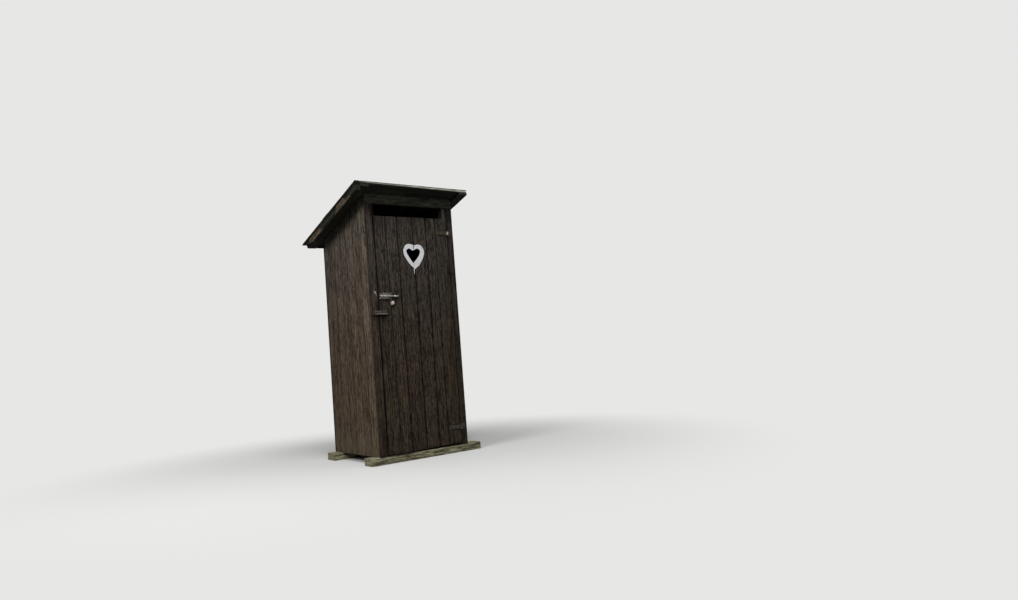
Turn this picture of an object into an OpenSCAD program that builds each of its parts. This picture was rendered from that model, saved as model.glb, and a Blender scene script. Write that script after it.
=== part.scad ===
// Wooden outhouse: a plank hut under a roof that slopes down to the back, with a ledged door that
// has a heart cut through it, two strap hinges, a barrel bolt with a padlock and a wooden turn bar.
// Millimetres, +Z up, the door faces -Y. The origin is the bottom centre of the bounding box.
// Inside the modules x runs right from the left wall, y runs back from the front boards and z runs
// up from the ground.

/* [Hut] */
// Width over the side walls
hut_w = 880; // [860:10:960]
// Depth over the front and rear boards
hut_d = 904; // [844:10:1004]
// Height of the front wall from its foot to the roof boards
front_h = 2245; // [2205:5:2345]
// Thickness of the wall boards
board_t = 22; // [20:1:24]
// Side of the square corner posts
post_s = 70; // [64:1:74]
// Height of the sill beams
sill_h = 70; // [60:1:80]
// Thickness of the floor boards
floor_t = 25; // [20:1:30]
// Thickness of the rails and rafters
rail_t = 45; // [38:1:50]
// Height of the rails between the posts
rail_h = 70; // [60:1:80]
// Height of the middle rails above the foot of the walls
mid_rail_z = 1050; // [950:10:1200]

/* [Sleepers] */
// Height of the two sleepers under the hut
sleeper_h = 65; // [50:1:90]
// Depth of each sleeper from front to back
sleeper_d = 150; // [120:5:180]
// Length of sleeper that sticks out on the left
sleeper_left = 80; // [40:5:100]
// Length of sleeper that sticks out on the right
sleeper_right = 140; // [100:5:160]

/* [Front] */
// Width of the board beside the door on the left
left_jamb_w = 68; // [62:1:72]
// Width of the board beside the door on the right
right_jamb_w = 60; // [54:1:64]
// Height of the board over the vent slot
header_h = 82; // [70:1:100]
// Height of the vent slot over the door at the left
vent_left = 111; // [90:1:125]
// Height of the vent slot over the door at the right
vent_right = 103; // [85:1:120]

/* [Door] */
// Thickness of the door boards
door_t = 22; // [20:1:24]
// How far the door stands in front of the boards beside it
door_proud = 6; // [6:0.5:8]
// Gap beside the door on the latch side
latch_gap = 5; // [5:0.5:7]
// Gap beside the door on the hinge side
hinge_gap = 8; // [8:0.5:9]
// Gap under the door at the latch side, where it has sagged
foot_gap_left = 6; // [5:1:12]
// Gap under the door at the hinge side
foot_gap_right = 21; // [12:1:30]
// Height of the two ledges on the back of the door
ledge_h = 100; // [80:5:120]
// Width of the diagonal brace on the back of the door
brace_w = 95; // [80:1:110]

/* [Heart] */
// Distance of the heart from the left side of the hut
heart_x = 446; // [420:1:470]
// Height of the heart's point above the foot of the walls
heart_z = 1649; // [1600:1:1680]
// Width of the heart
heart_w = 134; // [110:1:150]
// Height of the heart
heart_h = 123; // [105:1:140]

/* [Roof] */
// Pitch of the roof, down to the back
pitch = 16; // [12:0.5:18]
// How far the roof boards reach in front of the hut
roof_front = 140; // [100:5:180]
// How far the roof boards reach behind the hut
roof_rear = 130; // [100:5:160]
// How far the roof boards reach out on the left
roof_left = 108; // [100:1:130]
// How far the roof boards reach out on the right
roof_right = 88; // [86:1:110]
// Thickness of the roof boards
deck_t = 22; // [18:1:26]
// Height of the rafters, square to the roof
rafter_h = 55; // [45:1:65]
// Width of the flat verge boards under the ends of the roof boards
verge_w = 84; // [70:1:84]
// Thickness of the verge boards
verge_t = 22; // [18:1:26]
// Thickness of the barge board on the left
barge_t = 42; // [30:1:50]
// Height of the barge board, square to the roof
barge_h = 84; // [70:1:100]
// Thickness of the bitumen felt
felt_t = 4; // [3:0.5:5]
// Depth of the felt that is folded down over the barge board
felt_fold = 46; // [35:1:55]
// Depth of the felt that is folded down at the back
felt_drip = 40; // [30:1:45]

/* [Hinges] */
// Height of each hinge
hinge_h = 47; // [42:1:54]
// Length of the strap on the door
strap_len = 118; // [90:1:150]
// Width of the hinge leaf on the board beside the door
leaf_w = 36; // [28:1:40]
// Thickness of the hinge metal
hinge_t = 3; // [2.5:0.5:3]
// Radius of the hinge knuckles
knuckle_r = 6; // [5.5:0.5:6]
// Radius of the hinge pins
hinge_pin_r = 3; // [2.5:0.1:3]
// Height of the upper hinge above the foot of the walls
upper_hinge_z = 1901; // [1850:1:1930]
// Height of the lower hinge above the foot of the walls
lower_hinge_z = 138; // [120:1:180]

/* [Bolt] */
// Height of the bolt rod above the foot of the walls
bolt_z = 1352; // [1300:1:1400]
// Length of the bolt's back plate
plate_len = 116; // [114:1:124]
// Height of the bolt's back plate
plate_h = 52; // [46:1:56]
// Thickness of the bolt's sheet metal
plate_t = 2.5; // [2:0.5:3]
// Radius of the bolt rod
rod_r = 6.5; // [5.5:0.5:7]
// Length of the bolt rod
rod_len = 167; // [160:1:175]
// Width of the padlock body
lock_w = 32; // [28:1:36]
// Height of the padlock body
lock_h = 27; // [24:1:32]
// Tilt of the hanging padlock
lock_tilt = 22; // [10:1:30]

/* [Turn bar] */
// Height of the turn bar above the foot of the walls
bar_z = 1214; // [1180:1:1220]
// Length of the turn bar
bar_len = 118; // [110:1:125]
// Height of the turn bar
bar_h = 31; // [28:1:34]
// Thickness of the turn bar
bar_t = 16; // [12:1:18]
// Distance from the turn bar's right end to its nail
bar_nail = 26; // [20:1:30]

/* [Hidden] */
$fn = 48;

// Roof plane: the underside of the roof boards meets the front wall's top at y = 0
foot_z = sleeper_h;
deck_rise = deck_t / cos(pitch);
roof_top_z = foot_z + front_h + deck_rise + roof_front * tan(pitch);
roof_len = (roof_front + hut_d + roof_rear) / cos(pitch);
function deck_under(y) = foot_z + front_h - y * tan(pitch);
function rafter_under(y) = deck_under(y) - rafter_h / cos(pitch);

// Bounding box, which sets the origin
x_min = -roof_left - barge_t - felt_t;
x_max = hut_w + max(roof_right, sleeper_right);
y_min = -roof_front - barge_h * sin(pitch);
y_max = hut_d + roof_rear + felt_t * (cos(pitch) + sin(pitch));
origin = [(x_min + x_max) / 2, (y_min + y_max) / 2, 0];

// Wall and frame planes
wall_right = hut_w - board_t;
frame_back = hut_d - board_t;
post_right = wall_right - post_s;
post_back = frame_back - post_s;
sill_top = foot_z + sill_h;
slot_top = foot_z + front_h - header_h;
rail_z0 = slot_top + 5;
rail_drop = 2;
barge_cut_z = roof_top_z - roof_len * sin(pitch) - 14;

// Door planes
door_x0 = left_jamb_w + latch_gap;
door_x1 = hut_w - right_jamb_w - hinge_gap;
door_face = -door_proud;
door_back = door_face + door_t;
ledge_x0 = board_t + post_s + 10;
ledge_x1 = post_right - 16;
lower_ledge_z = foot_z + 180;
upper_ledge_z = foot_z + 1830;

// Hinge axis
axis_x = door_x1 + hinge_gap / 2;
axis_y = door_face - hinge_t - knuckle_r / 2 - 1;
knuckle_h = hinge_h * 0.3;
knuckle_gap = 0.5;
pin_play = 0.3;
leaf_gap = 2;
strap_step = 6;

// Bolt: plate, barrel, knob and the lug for the padlock
plate_x0 = door_x0 + 9;
plate_z0 = foot_z + bolt_z - plate_h + 28;
rod_x0 = plate_x0 + 6;
rod_y = door_face - plate_t - rod_r - 4;
rod_play = 0.5;
barrel_r = rod_r + 3.5;
barrel_x0 = plate_x0 + 22;
barrel_len = 70;
guide_len = 9;
knob_x = rod_x0 + 130;
knob_r = 6;
knob_reach = 9;
collar_len = 10;
collar_r = rod_r + 1.5;
lug_x = plate_x0 + 103.5;
lug_t = 2.5;
lug_reach = 13.5;
lug_z0 = plate_z0 - 9;
lug_z1 = plate_z0 + 12;
lug_hole_r = 4.5;
lug_hole_z = plate_z0 - 2;

// Padlock
shackle_r = 9;
shackle_wire = 2.2;
shackle_leg = 11;
shackle_top_z = lug_hole_z - lug_hole_r + shackle_wire + 0.4;
lock_t = 14;
lock_round = 3;
lock_y = door_face - 1 - lock_t / 2;

// Keeper of the bolt
keeper_tilt = 62;
keeper_len = 42;
keeper_w = 14;
keeper_x = left_jamb_w - 20;
keeper_z = foot_z + bolt_z + 27;
keeper_hole_x = 13;
keeper_hole_r = 2.5;

// Turn bar
bar_x1 = door_x0 + 65;
bar_x0 = bar_x1 - bar_len;
bar_pivot_x = bar_x1 - bar_nail;
bar_back = door_face - 5;
bar_nail_r = 3;
bar_play = 0.4;
bar_round = 5;
bar_hole_x = bar_x0 + 12;
bar_hole_r = 4.5;
spacer_t = 4.5;
spacer_r = 9;
washer_t = 2;
washer_r = 7;
washer_gap = 1;

// Colours
wall_brown = "#4b4036";
door_brown = "#342f2a";
frame_brown = "#5d5143";
shade_brown = "#3d3a34";
sleeper_grey = "#857b69";
deck_grey = "#7d7666";
felt_black = "#23221f";
rust_brown = "#4b382c";
zinc_grey = "#94938a";
brass_pale = "#c2b79f";

// Places its children in the part's frame
module hut() {
    translate(-origin) children();
}

// A box between two corners
module block(low, high) {
    translate(low) cube(high - low);
}

// A box whose top follows the underside of the roof boards, set down by drop
module sloped_block(x0, x1, y0, y1, z0, drop = 0) {
    translate([x0, 0, 0]) rotate([90, 0, 90]) linear_extrude(x1 - x0)
        polygon([[y0, z0], [y1, z0], [y1, deck_under(y1) - drop], [y0, deck_under(y0) - drop]]);
}

// Children lie on the roof: x across, y down the slope from the front edge, z above the roof boards
module on_roof() {
    translate([0, -roof_front, roof_top_z]) rotate([-pitch, 0, 0]) children();
}

// A centred rectangle with rounded corners
module rounded_rect(w, h, r) {
    square([w - 2 * r, h], center = true);
    square([w, h - 2 * r], center = true);
    for (x = [-1, 1], y = [-1, 1])
        translate([x * (w / 2 - r), y * (h / 2 - r)]) circle(r = r);
}

// A bent wire that goes half round its centre
module half_ring(r, wire_r) {
    rotate_extrude(angle = 180) translate([r, 0]) circle(r = wire_r, $fn = 16);
}

// A rod along x
module rod_x(x0, len, r) {
    translate([x0, 0, 0]) rotate([0, 90, 0]) cylinder(r = r, h = len);
}

// A rod along y, towards the front
module rod_front(y0, len, r) {
    translate([0, y0, 0]) rotate([90, 0, 0]) cylinder(r = r, h = len);
}

// Sleepers under the front and the back of the hut
module sleeper(y0) {
    color(sleeper_grey) hut()
        block([-sleeper_left, y0, 0], [hut_w + sleeper_right, y0 + sleeper_d, sleeper_h]);
}

// Sill beams that run across the hut
module cross_sill(y0) {
    color(frame_brown) hut() block([board_t, y0, foot_z], [wall_right, y0 + post_s, sill_top]);
}

// Sill beams that run from front to back
module side_sill(x0) {
    color(frame_brown) hut()
        block([x0, board_t + post_s, foot_z], [x0 + post_s, post_back, sill_top]);
}

// Floor boards on the sills, cut out round the four posts
module floor_boards() {
    color(frame_brown) hut() difference() {
        block([board_t, board_t, sill_top], [wall_right, frame_back, sill_top + floor_t]);
        for (x = [board_t, post_right], y = [board_t, post_back])
            block([x - 1, y - 1, sill_top - 1], [x + post_s + 1, y + post_s + 1, sill_top + floor_t + 1]);
    }
}

// Corner posts from the sill to the rafters
module post(x0, y0) {
    color(frame_brown) hut()
        sloped_block(x0, x0 + post_s, y0, y0 + post_s, sill_top, rafter_h / cos(pitch));
}

// Rail behind the header board
module front_top_rail() {
    color(frame_brown) hut()
        sloped_block(board_t + post_s, post_right, board_t, board_t + rail_t, rail_z0, rail_drop);
}

// Rail at the top of the rear wall
module rear_top_rail() {
    color(frame_brown) hut()
        sloped_block(board_t + post_s, post_right, frame_back - rail_t, frame_back,
                     deck_under(frame_back) - rail_h, rail_drop);
}

// Middle rails of the side walls
module side_mid_rail(x0) {
    z0 = foot_z + mid_rail_z;
    color(frame_brown) hut() block([x0, board_t + post_s, z0], [x0 + rail_t, post_back, z0 + rail_h]);
}

// Middle rail of the rear wall
module rear_mid_rail() {
    z0 = foot_z + mid_rail_z;
    color(frame_brown) hut()
        block([board_t + post_s, frame_back - rail_t, z0], [post_right, frame_back, z0 + rail_h]);
}

// Rafters under the roof boards, with plumb ends at y0 and y1
module rafter(x0, y0, y1) {
    color(frame_brown) hut() intersection() {
        on_roof() translate([x0, 0, -deck_t - rafter_h]) cube([rail_t, roof_len, rafter_h]);
        block([x0, y0, 0], [x0 + rail_t, y1, 2 * front_h]);
    }
}

// Side walls, one board thick, between the front and rear boards
module side_wall(x0) {
    color(wall_brown) hut() sloped_block(x0, x0 + board_t, board_t, frame_back, foot_z);
}

// Rear wall across the ends of the side walls
module rear_wall() {
    color(wall_brown) hut() sloped_block(0, hut_w, frame_back, hut_d, foot_z);
}

// Boards beside the door
module jamb_board(x0, w) {
    color(door_brown) hut() block([x0, 0, foot_z], [x0 + w, board_t, slot_top]);
}

// Board over the vent slot, bevelled to the roof
module header_board() {
    color(shade_brown) hut() sloped_block(0, hut_w, 0, board_t, slot_top);
}

// Roof boards
module roof_deck() {
    color(deck_grey) hut() on_roof()
        translate([-roof_left, 0, -deck_t]) cube([roof_left + hut_w + roof_right, roof_len, deck_t]);
}

// Flat boards under the ends of the roof boards
module verge_board(x0) {
    color(shade_brown) hut() on_roof()
        translate([x0, 0, -deck_t - verge_t]) cube([verge_w, roof_len, verge_t]);
}

// Everything above the level cut at the low end of the barge board
module above_level_cut() {
    intersection() {
        children();
        block([x_min - 10, y_min - 10, barge_cut_z], [x_max, y_max + 10, 2 * front_h]);
    }
}

// Barge board on the left, cut level at its low end
module left_barge_board() {
    color(wall_brown) hut() above_level_cut() on_roof()
        translate([-roof_left - barge_t, 0, -barge_h]) cube([barge_t, roof_len, barge_h]);
}

// Felt on the roof boards, folded down over the barge board, its front end and the back edge
module roof_felt() {
    color(felt_black) hut() {
        above_level_cut() on_roof() {
            translate([x_min, -felt_t, -felt_fold])
                cube([felt_t, roof_len + 2 * felt_t, felt_fold + felt_t]);
            translate([x_min, -felt_t, -felt_fold])
                cube([barge_t + felt_t, felt_t, felt_fold + felt_t]);
        }
        on_roof() {
            translate([x_min, 0, 0]) cube([hut_w + roof_right - x_min, roof_len, felt_t]);
            translate([-roof_left, roof_len, -felt_drip])
                cube([roof_left + hut_w + roof_right, felt_t, felt_drip + felt_t]);
        }
    }
}

// Heart with its point at the origin: two round lobes, each with both its tangents down to the point
module heart_2d() {
    lobe_r = heart_w * 0.276;
    lobe = [heart_w / 2 - lobe_r, heart_h - lobe_r];
    tangent = sqrt(lobe * lobe - lobe_r * lobe_r);
    middle_angle = atan2(lobe[1], lobe[0]);
    half_angle = asin(lobe_r / norm(lobe));
    for (side = [-1, 1]) scale([side, 1]) {
        translate(lobe) circle(r = lobe_r, $fn = 64);
        polygon([[0, 0], tangent * [cos(middle_angle - half_angle), sin(middle_angle - half_angle)], lobe,
                 tangent * [cos(middle_angle + half_angle), sin(middle_angle + half_angle)]]);
    }
}

// Door leaf: its top and bottom edges rise to the hinge side because the door has sagged
module door_leaf() {
    color(door_brown) hut() translate([0, door_back, foot_z]) rotate([90, 0, 0])
        linear_extrude(door_t) difference() {
            polygon([[door_x0, foot_gap_left], [door_x1, foot_gap_right],
                     [door_x1, front_h - header_h - vent_right],
                     [door_x0, front_h - header_h - vent_left]]);
            translate([heart_x, heart_z]) heart_2d();
        }
}

// Ledges on the back of the door
module ledge(z0) {
    color(frame_brown) hut()
        block([ledge_x0, door_back, z0], [ledge_x1, door_back + board_t, z0 + ledge_h]);
}

// Diagonal brace from the lower hinge side up to the latch side
module door_brace() {
    z0 = lower_ledge_z + ledge_h;
    color(frame_brown) hut() translate([0, door_back + board_t, 0]) rotate([90, 0, 0])
        linear_extrude(board_t)
            polygon([[ledge_x1 - brace_w, z0], [ledge_x1, z0], [ledge_x0 + brace_w, upper_ledge_z],
                     [ledge_x0, upper_ledge_z]]);
}

// A round piece on the hinge axis
module on_axis(z0, h, r) {
    translate([axis_x, axis_y, z0]) cylinder(r = r, h = h);
}

// Hinge leaf on the board beside the door, with two knuckles and the pin
module jamb_hinge(z) {
    z0 = foot_z + z;
    web_x1 = axis_x + knuckle_r + leaf_gap;
    color(rust_brown) hut() {
        block([web_x1 - 1, -hinge_t, z0], [web_x1 + leaf_w, 0, z0 + hinge_h]);
        for (k = [z0, z0 + hinge_h - knuckle_h]) {
            on_axis(k, knuckle_h, knuckle_r);
            block([axis_x, axis_y + hinge_pin_r, k], [web_x1, 0, k + knuckle_h]);
        }
        on_axis(z0, hinge_h, hinge_pin_r);
    }
}

// Strap on the door, with the middle knuckle that turns on the pin
module door_hinge(z) {
    z0 = foot_z + z;
    strap_x1 = axis_x - knuckle_r - leaf_gap;
    mid_z0 = z0 + knuckle_h + knuckle_gap;
    mid_h = hinge_h - 2 * (knuckle_h + knuckle_gap);
    color(rust_brown) hut() difference() {
        union() {
            block([strap_x1 - strap_len, door_face - hinge_t, z0 + strap_step],
                  [strap_x1, door_face, z0 + hinge_h - strap_step]);
            block([strap_x1 - 1, door_face - hinge_t, mid_z0], [axis_x, door_face, mid_z0 + mid_h]);
            on_axis(mid_z0, mid_h, knuckle_r);
        }
        on_axis(mid_z0 - 1, mid_h + 2, hinge_pin_r + pin_play);
    }
}

// Bent keeper that hangs aslant on the board beside the door
module bolt_keeper() {
    color(zinc_grey) hut()
        translate([keeper_x, 0, keeper_z]) rotate([0, keeper_tilt, 0])
            difference() {
                block([-keeper_len / 2, -plate_t, -keeper_w / 2], [keeper_len / 2, 0, keeper_w / 2]);
                for (side = [-1, 1])
                    translate([side * keeper_hole_x, 0, 0]) rod_front(1, plate_t + 2, keeper_hole_r);
            }
}

// Back plate of the bolt with its barrel, its end guide and the lug that holds the padlock
module bolt_plate() {
    rod_z = foot_z + bolt_z;
    color(zinc_grey) hut() difference() {
        union() {
            block([plate_x0, door_face - plate_t, plate_z0],
                  [plate_x0 + plate_len, door_face, plate_z0 + plate_h]);
            for (tube = [[barrel_x0, barrel_len], [plate_x0, guide_len]]) {
                translate([0, rod_y, rod_z]) rod_x(tube[0], tube[1], barrel_r);
                block([tube[0], rod_y, rod_z - barrel_r], [tube[0] + tube[1], door_face, rod_z + barrel_r]);
            }
            block([lug_x - lug_t / 2, door_face - plate_t - lug_reach, lug_z0],
                  [lug_x + lug_t / 2, door_face - plate_t / 2, lug_z1]);
        }
        translate([0, rod_y, rod_z]) rod_x(plate_x0 - 1, plate_len + 2, rod_r + rod_play);
        translate([0, lock_y, lug_hole_z]) rod_x(lug_x - lug_t, 2 * lug_t, lug_hole_r);
    }
}

// Padlock that hangs aslant from the lug
module padlock() {
    shackle_top = lock_h / 2 + shackle_leg;
    hang = shackle_top + shackle_r;
    lock_x = lug_x + hang * sin(lock_tilt);
    lock_z = shackle_top_z - hang * cos(lock_tilt);
    color(brass_pale) hut() translate([lock_x, lock_y, lock_z]) rotate([0, -lock_tilt, 0]) {
        translate([0, lock_t / 2, 0]) rotate([90, 0, 0]) linear_extrude(lock_t)
            rounded_rect(lock_w, lock_h, lock_round);
        for (side = [-1, 1])
            translate([side * shackle_r, 0, lock_h / 2 - 1])
                cylinder(r = shackle_wire, h = shackle_leg + 1);
        translate([0, 0, shackle_top]) rotate([90, 0, 0]) half_ring(shackle_r, shackle_wire);
    }
}

// Bolt rod with its finger knob, drawn back
module bolt_rod() {
    color(zinc_grey) hut() translate([0, rod_y, foot_z + bolt_z]) {
        rod_x(rod_x0, rod_len, rod_r);
        rod_x(knob_x - collar_len / 2, collar_len, collar_r);
        translate([knob_x, 0, 0]) rod_front(0, rod_r + knob_reach, knob_r);
    }
}

// Nail and washer that the turn bar turns on
module bar_nail_and_washer() {
    color(rust_brown) hut() translate([bar_pivot_x, 0, foot_z + bar_z]) {
        rod_front(door_face, spacer_t, spacer_r);
        rod_front(door_face, door_face - bar_back + bar_t + washer_gap + washer_t, bar_nail_r);
        rod_front(bar_back - bar_t - washer_gap, washer_t, washer_r);
    }
}

// Wooden turn bar, laid across the gap beside the door, with an old nail hole near its free end
module turn_bar() {
    color(sleeper_grey) hut() translate([0, bar_back, foot_z + bar_z]) difference() {
        rotate([90, 0, 0]) linear_extrude(bar_t) translate([(bar_x0 + bar_x1) / 2, 0])
            rounded_rect(bar_len, bar_h, bar_round);
        translate([bar_pivot_x, 0, 0]) rod_front(1, bar_t + 2, bar_nail_r + bar_play);
        translate([bar_hole_x, 0, 0]) rod_front(1, bar_t + 2, bar_hole_r);
    }
}

sleeper(0);  // front_sleeper
sleeper(hut_d - sleeper_d);  // rear_sleeper
cross_sill(board_t);  // front_sill
cross_sill(post_back);  // rear_sill
side_sill(board_t);  // left_sill
side_sill(post_right);  // right_sill
floor_boards();
post(board_t, board_t);  // front_left_post
post(post_right, board_t);  // front_right_post
post(board_t, post_back);  // rear_left_post
post(post_right, post_back);  // rear_right_post
front_top_rail();
rear_top_rail();
side_mid_rail(board_t);  // left_mid_rail
side_mid_rail(wall_right - rail_t);  // right_mid_rail
rear_mid_rail();
rafter(board_t, board_t, frame_back);  // left_rafter
rafter((hut_w - rail_t) / 2, board_t + rail_t, frame_back - rail_t);  // middle_rafter
rafter(wall_right - rail_t, board_t, frame_back);  // right_rafter
side_wall(0);  // left_wall
side_wall(wall_right);  // right_wall
rear_wall();
jamb_board(0, left_jamb_w);  // left_jamb_board
jamb_board(hut_w - right_jamb_w, right_jamb_w);  // right_jamb_board
header_board();
roof_deck();
verge_board(-roof_left);  // left_verge_board
verge_board(hut_w + roof_right - verge_w);  // right_verge_board
left_barge_board();
roof_felt();
jamb_hinge(upper_hinge_z);  // upper_jamb_hinge
jamb_hinge(lower_hinge_z);  // lower_jamb_hinge
bolt_keeper();
door_leaf();
ledge(upper_ledge_z);  // upper_ledge
ledge(lower_ledge_z);  // lower_ledge
door_brace();
door_hinge(upper_hinge_z);  // upper_door_hinge
door_hinge(lower_hinge_z);  // lower_door_hinge
bolt_plate();
padlock();
bar_nail_and_washer();
bolt_rod();
turn_bar();
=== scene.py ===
"""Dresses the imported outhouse: boards, roof felt, ironwork and their finishes, and the stage it stands on.

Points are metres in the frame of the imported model. Hut coordinates and the sizes of pieces are
millimetres: x from the left wall's outer face, y from the front boards' face and z from the ground.
"""

import contextlib
import functools
import math

import bmesh
import bpy
import numpy as np
from bpy.props import FloatProperty, FloatVectorProperty, IntProperty, PointerProperty
from mathutils import Matrix, Vector, noise
from mathutils.bvhtree import BVHTree


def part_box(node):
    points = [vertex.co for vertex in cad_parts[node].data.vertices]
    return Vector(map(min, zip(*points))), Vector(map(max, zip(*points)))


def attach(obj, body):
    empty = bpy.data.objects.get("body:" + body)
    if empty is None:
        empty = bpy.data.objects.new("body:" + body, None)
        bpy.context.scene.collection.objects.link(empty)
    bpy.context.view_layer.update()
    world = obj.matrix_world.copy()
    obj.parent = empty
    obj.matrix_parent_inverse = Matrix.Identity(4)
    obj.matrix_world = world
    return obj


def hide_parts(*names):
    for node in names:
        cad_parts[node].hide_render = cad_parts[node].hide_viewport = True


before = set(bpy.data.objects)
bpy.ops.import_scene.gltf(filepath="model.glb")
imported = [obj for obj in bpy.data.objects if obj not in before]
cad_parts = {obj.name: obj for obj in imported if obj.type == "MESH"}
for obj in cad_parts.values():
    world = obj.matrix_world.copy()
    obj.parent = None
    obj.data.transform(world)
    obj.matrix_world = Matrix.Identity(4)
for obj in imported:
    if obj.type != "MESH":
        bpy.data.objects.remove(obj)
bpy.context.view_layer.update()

bl_info = {
    "name": "Wooden outhouse",
    "version": (1, 0, 0),
    "blender": (4, 5, 0),
    "location": "3D View > Sidebar > Outhouse",
    "description": "Boards, roof felt, ironwork and finishes for a plank outhouse",
    "category": "Object",
}

MM = 0.001
X, Y, Z = np.eye(3)

# The photograph's camera, fitted to the hut's edges: place, turn, tilt and lean, and a focal length
# in pixels of a picture 1018 wide
CAMERA_PLACE = (-3.2347, -5.9533, 0.8519)
CAMERA_YAW, CAMERA_PITCH, CAMERA_ROLL = 0.65991, -0.07315, 0.07840
FOCAL_PIXELS, PICTURE_WIDTH, SENSOR_MM = 720, 1018, 36

# The roof's pitch, and its directions down the slope and square to it
PITCH = math.radians(16)
DOWN_SLOPE = np.array([0, math.cos(PITCH), -math.sin(PITCH)])
ROOF_UP = np.array([0, math.sin(PITCH), math.cos(PITCH)])


def box(node):
    """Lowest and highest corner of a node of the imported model."""
    return tuple(np.array(corner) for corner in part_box(node))


# The walls' outer width and depth, and the thickness of boards, posts, rails and roof boards
WALL_W, WALL_D, WALL_T, POST, RAIL_T, DECK_T, RAFTER_H = 880, 904, 22, 70, 45, 22, 55
HUT_ORIGIN = np.array([-box("left_wall")[0][0], -box("header_board")[0][1], 0])
FOOT = box("left_wall")[0][2] / MM
ROOF_FRONT = np.array([0, box("roof_deck")[0][1] + DECK_T * MM * math.sin(PITCH), box("roof_deck")[1][2]])
ROOF_LEN = (box("roof_deck")[1][1] - ROOF_FRONT[1]) / math.cos(PITCH) / MM
# The posts' front faces, the foot of the vent slot and the barge board's level cut, in metres
POST_FACE, SLOT_FOOT = box("front_left_post")[0][1], box("door_leaf")[1][2]
BARGE_CUT = box("left_barge_board")[0][2]


def at(x, y, z):
    """A point in hut coordinates."""
    return np.array([x, y, z]) * MM - HUT_ORIGIN


def on_roof(x, s, n):
    """A point on the roof: x as in hut coordinates, s down the slope and n above the roof boards, in mm."""
    return np.array([x * MM - HUT_ORIGIN[0], 0, 0]) + ROOF_FRONT + s * MM * DOWN_SLOPE + n * MM * ROOF_UP


def deck_under(y):
    """Height of the roof boards' underside in hut coordinates."""
    front = ROOF_FRONT - DECK_T * MM * ROOF_UP
    return (front[2] - (y * MM - HUT_ORIGIN[1] - front[1]) * math.tan(PITCH)) / MM


# Settings that a user would change


def length(name, description, default, low, high):
    return FloatProperty(name=name, description=description, default=default, min=low, max=high,
                         unit="LENGTH")


def tint(name, description, default):
    return FloatVectorProperty(name=name, description=description, default=default, size=3, subtype="COLOR",
                               min=0, max=1)


def power(name, description, default):
    return FloatProperty(name=name, description=description, default=default, min=0, max=2000, unit="POWER")


class BoardSettings(bpy.types.PropertyGroup):
    gap: length("Joint", "Usual gap between two boards", 0.0025, 0, 0.01)
    round: length("Edge radius", "Rounding of the boards' edges", 0.0018, 0.0005, 0.004)
    bow: length("Bow", "How far a board bows in or out", 0.0012, 0, 0.004)
    sway: length("Sway", "How far a board's edges wander sideways", 0.0008, 0, 0.003)
    relief: length("Relief", "Depth of the worn grain in the faces", 0.0004, 0, 0.002)
    ring_spacing: length("Mesh spacing", "Distance between cross-sections of a board", 0.035, 0.01, 0.2)
    seed: IntProperty(name="Seed", description="Picks another set of bows and wanders", default=4, min=0)


class RoofSettings(bpy.types.PropertyGroup):
    felt_t: length("Felt thickness", "Thickness of one layer of felt", 0.003, 0.002, 0.005)
    lap: length("Lap", "How far the upper sheet laps over the lower one", 0.095, 0.05, 0.15)
    bulge: length("Bulge", "How far the folded edge stands off the barge board", 0.003, 0, 0.015)


class ColourSettings(bpy.types.PropertyGroup):
    stain_dark: tint("Stain, dark", "Dark lines of the stained walls", (0.0175, 0.0118, 0.0072))
    stain_light: tint("Stain, light", "Worn ridges of the stained walls", (0.135, 0.104, 0.072))
    # the door's colours are darker than the walls', partly as painted shade on the front
    door_dark: tint("Door, dark", "Dark lines of the door boards", (0.0085, 0.0062, 0.0042))
    door_light: tint("Door, light", "Worn ridges of the door boards", (0.066, 0.051, 0.0365))
    # the boards under the roof, the header and the strips in the wall joints are kept dark, as painted shade
    shade_dark: tint("Eaves, dark", "Dark lines of the boards under the roof", (0.0050, 0.0048, 0.0034))
    shade_light: tint("Eaves, light", "Light lines of the boards under the roof", (0.026, 0.026, 0.019))
    # the bare inner timber is kept dark, partly as painted shade for the dark inside of the hut
    timber_dark: tint("Timber, dark", "Dark lines of the bare inner timber", (0.017, 0.0115, 0.0068))
    timber_light: tint("Timber, light", "Light wood of the bare inner timber", (0.080, 0.058, 0.037))
    grey_dark: tint("Weathered, dark", "Cracks of the weathered timber", (0.050, 0.046, 0.027))
    grey_light: tint("Weathered, light", "Ridges of the weathered timber", (0.390, 0.362, 0.210))
    # the white paint is greyer than fresh white, partly as painted shade on the door front
    paint: tint("Heart", "White paint round the heart", (0.63, 0.645, 0.65))


class StageSettings(bpy.types.PropertyGroup):
    key_power: power("Main lamp", "Power of the lamp on the left", 280)
    fill_power: power("Fill lamp", "Power of the lamp on the right", 36)
    top_power: power("Overhead lamp", "Power of the lamp above", 260)
    around: FloatProperty(name="Around", description="Strength of the even light from all round",
                          default=0.31, min=0, max=2, subtype="FACTOR")
    bounce: FloatProperty(name="Bounce", description="How much light the floor throws back", default=0.16,
                          min=0, max=1, subtype="FACTOR")
    pale: tint("Background", "Colour of the pale background", (0.80, 0.80, 0.79))


SETTINGS = {
    "outhouse_boards": BoardSettings,
    "outhouse_roof": RoofSettings,
    "outhouse_colours": ColourSettings,
    "outhouse_stage": StageSettings,
}


def settings(group):
    return getattr(bpy.context.scene, "outhouse_" + group)


# Node trees


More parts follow.
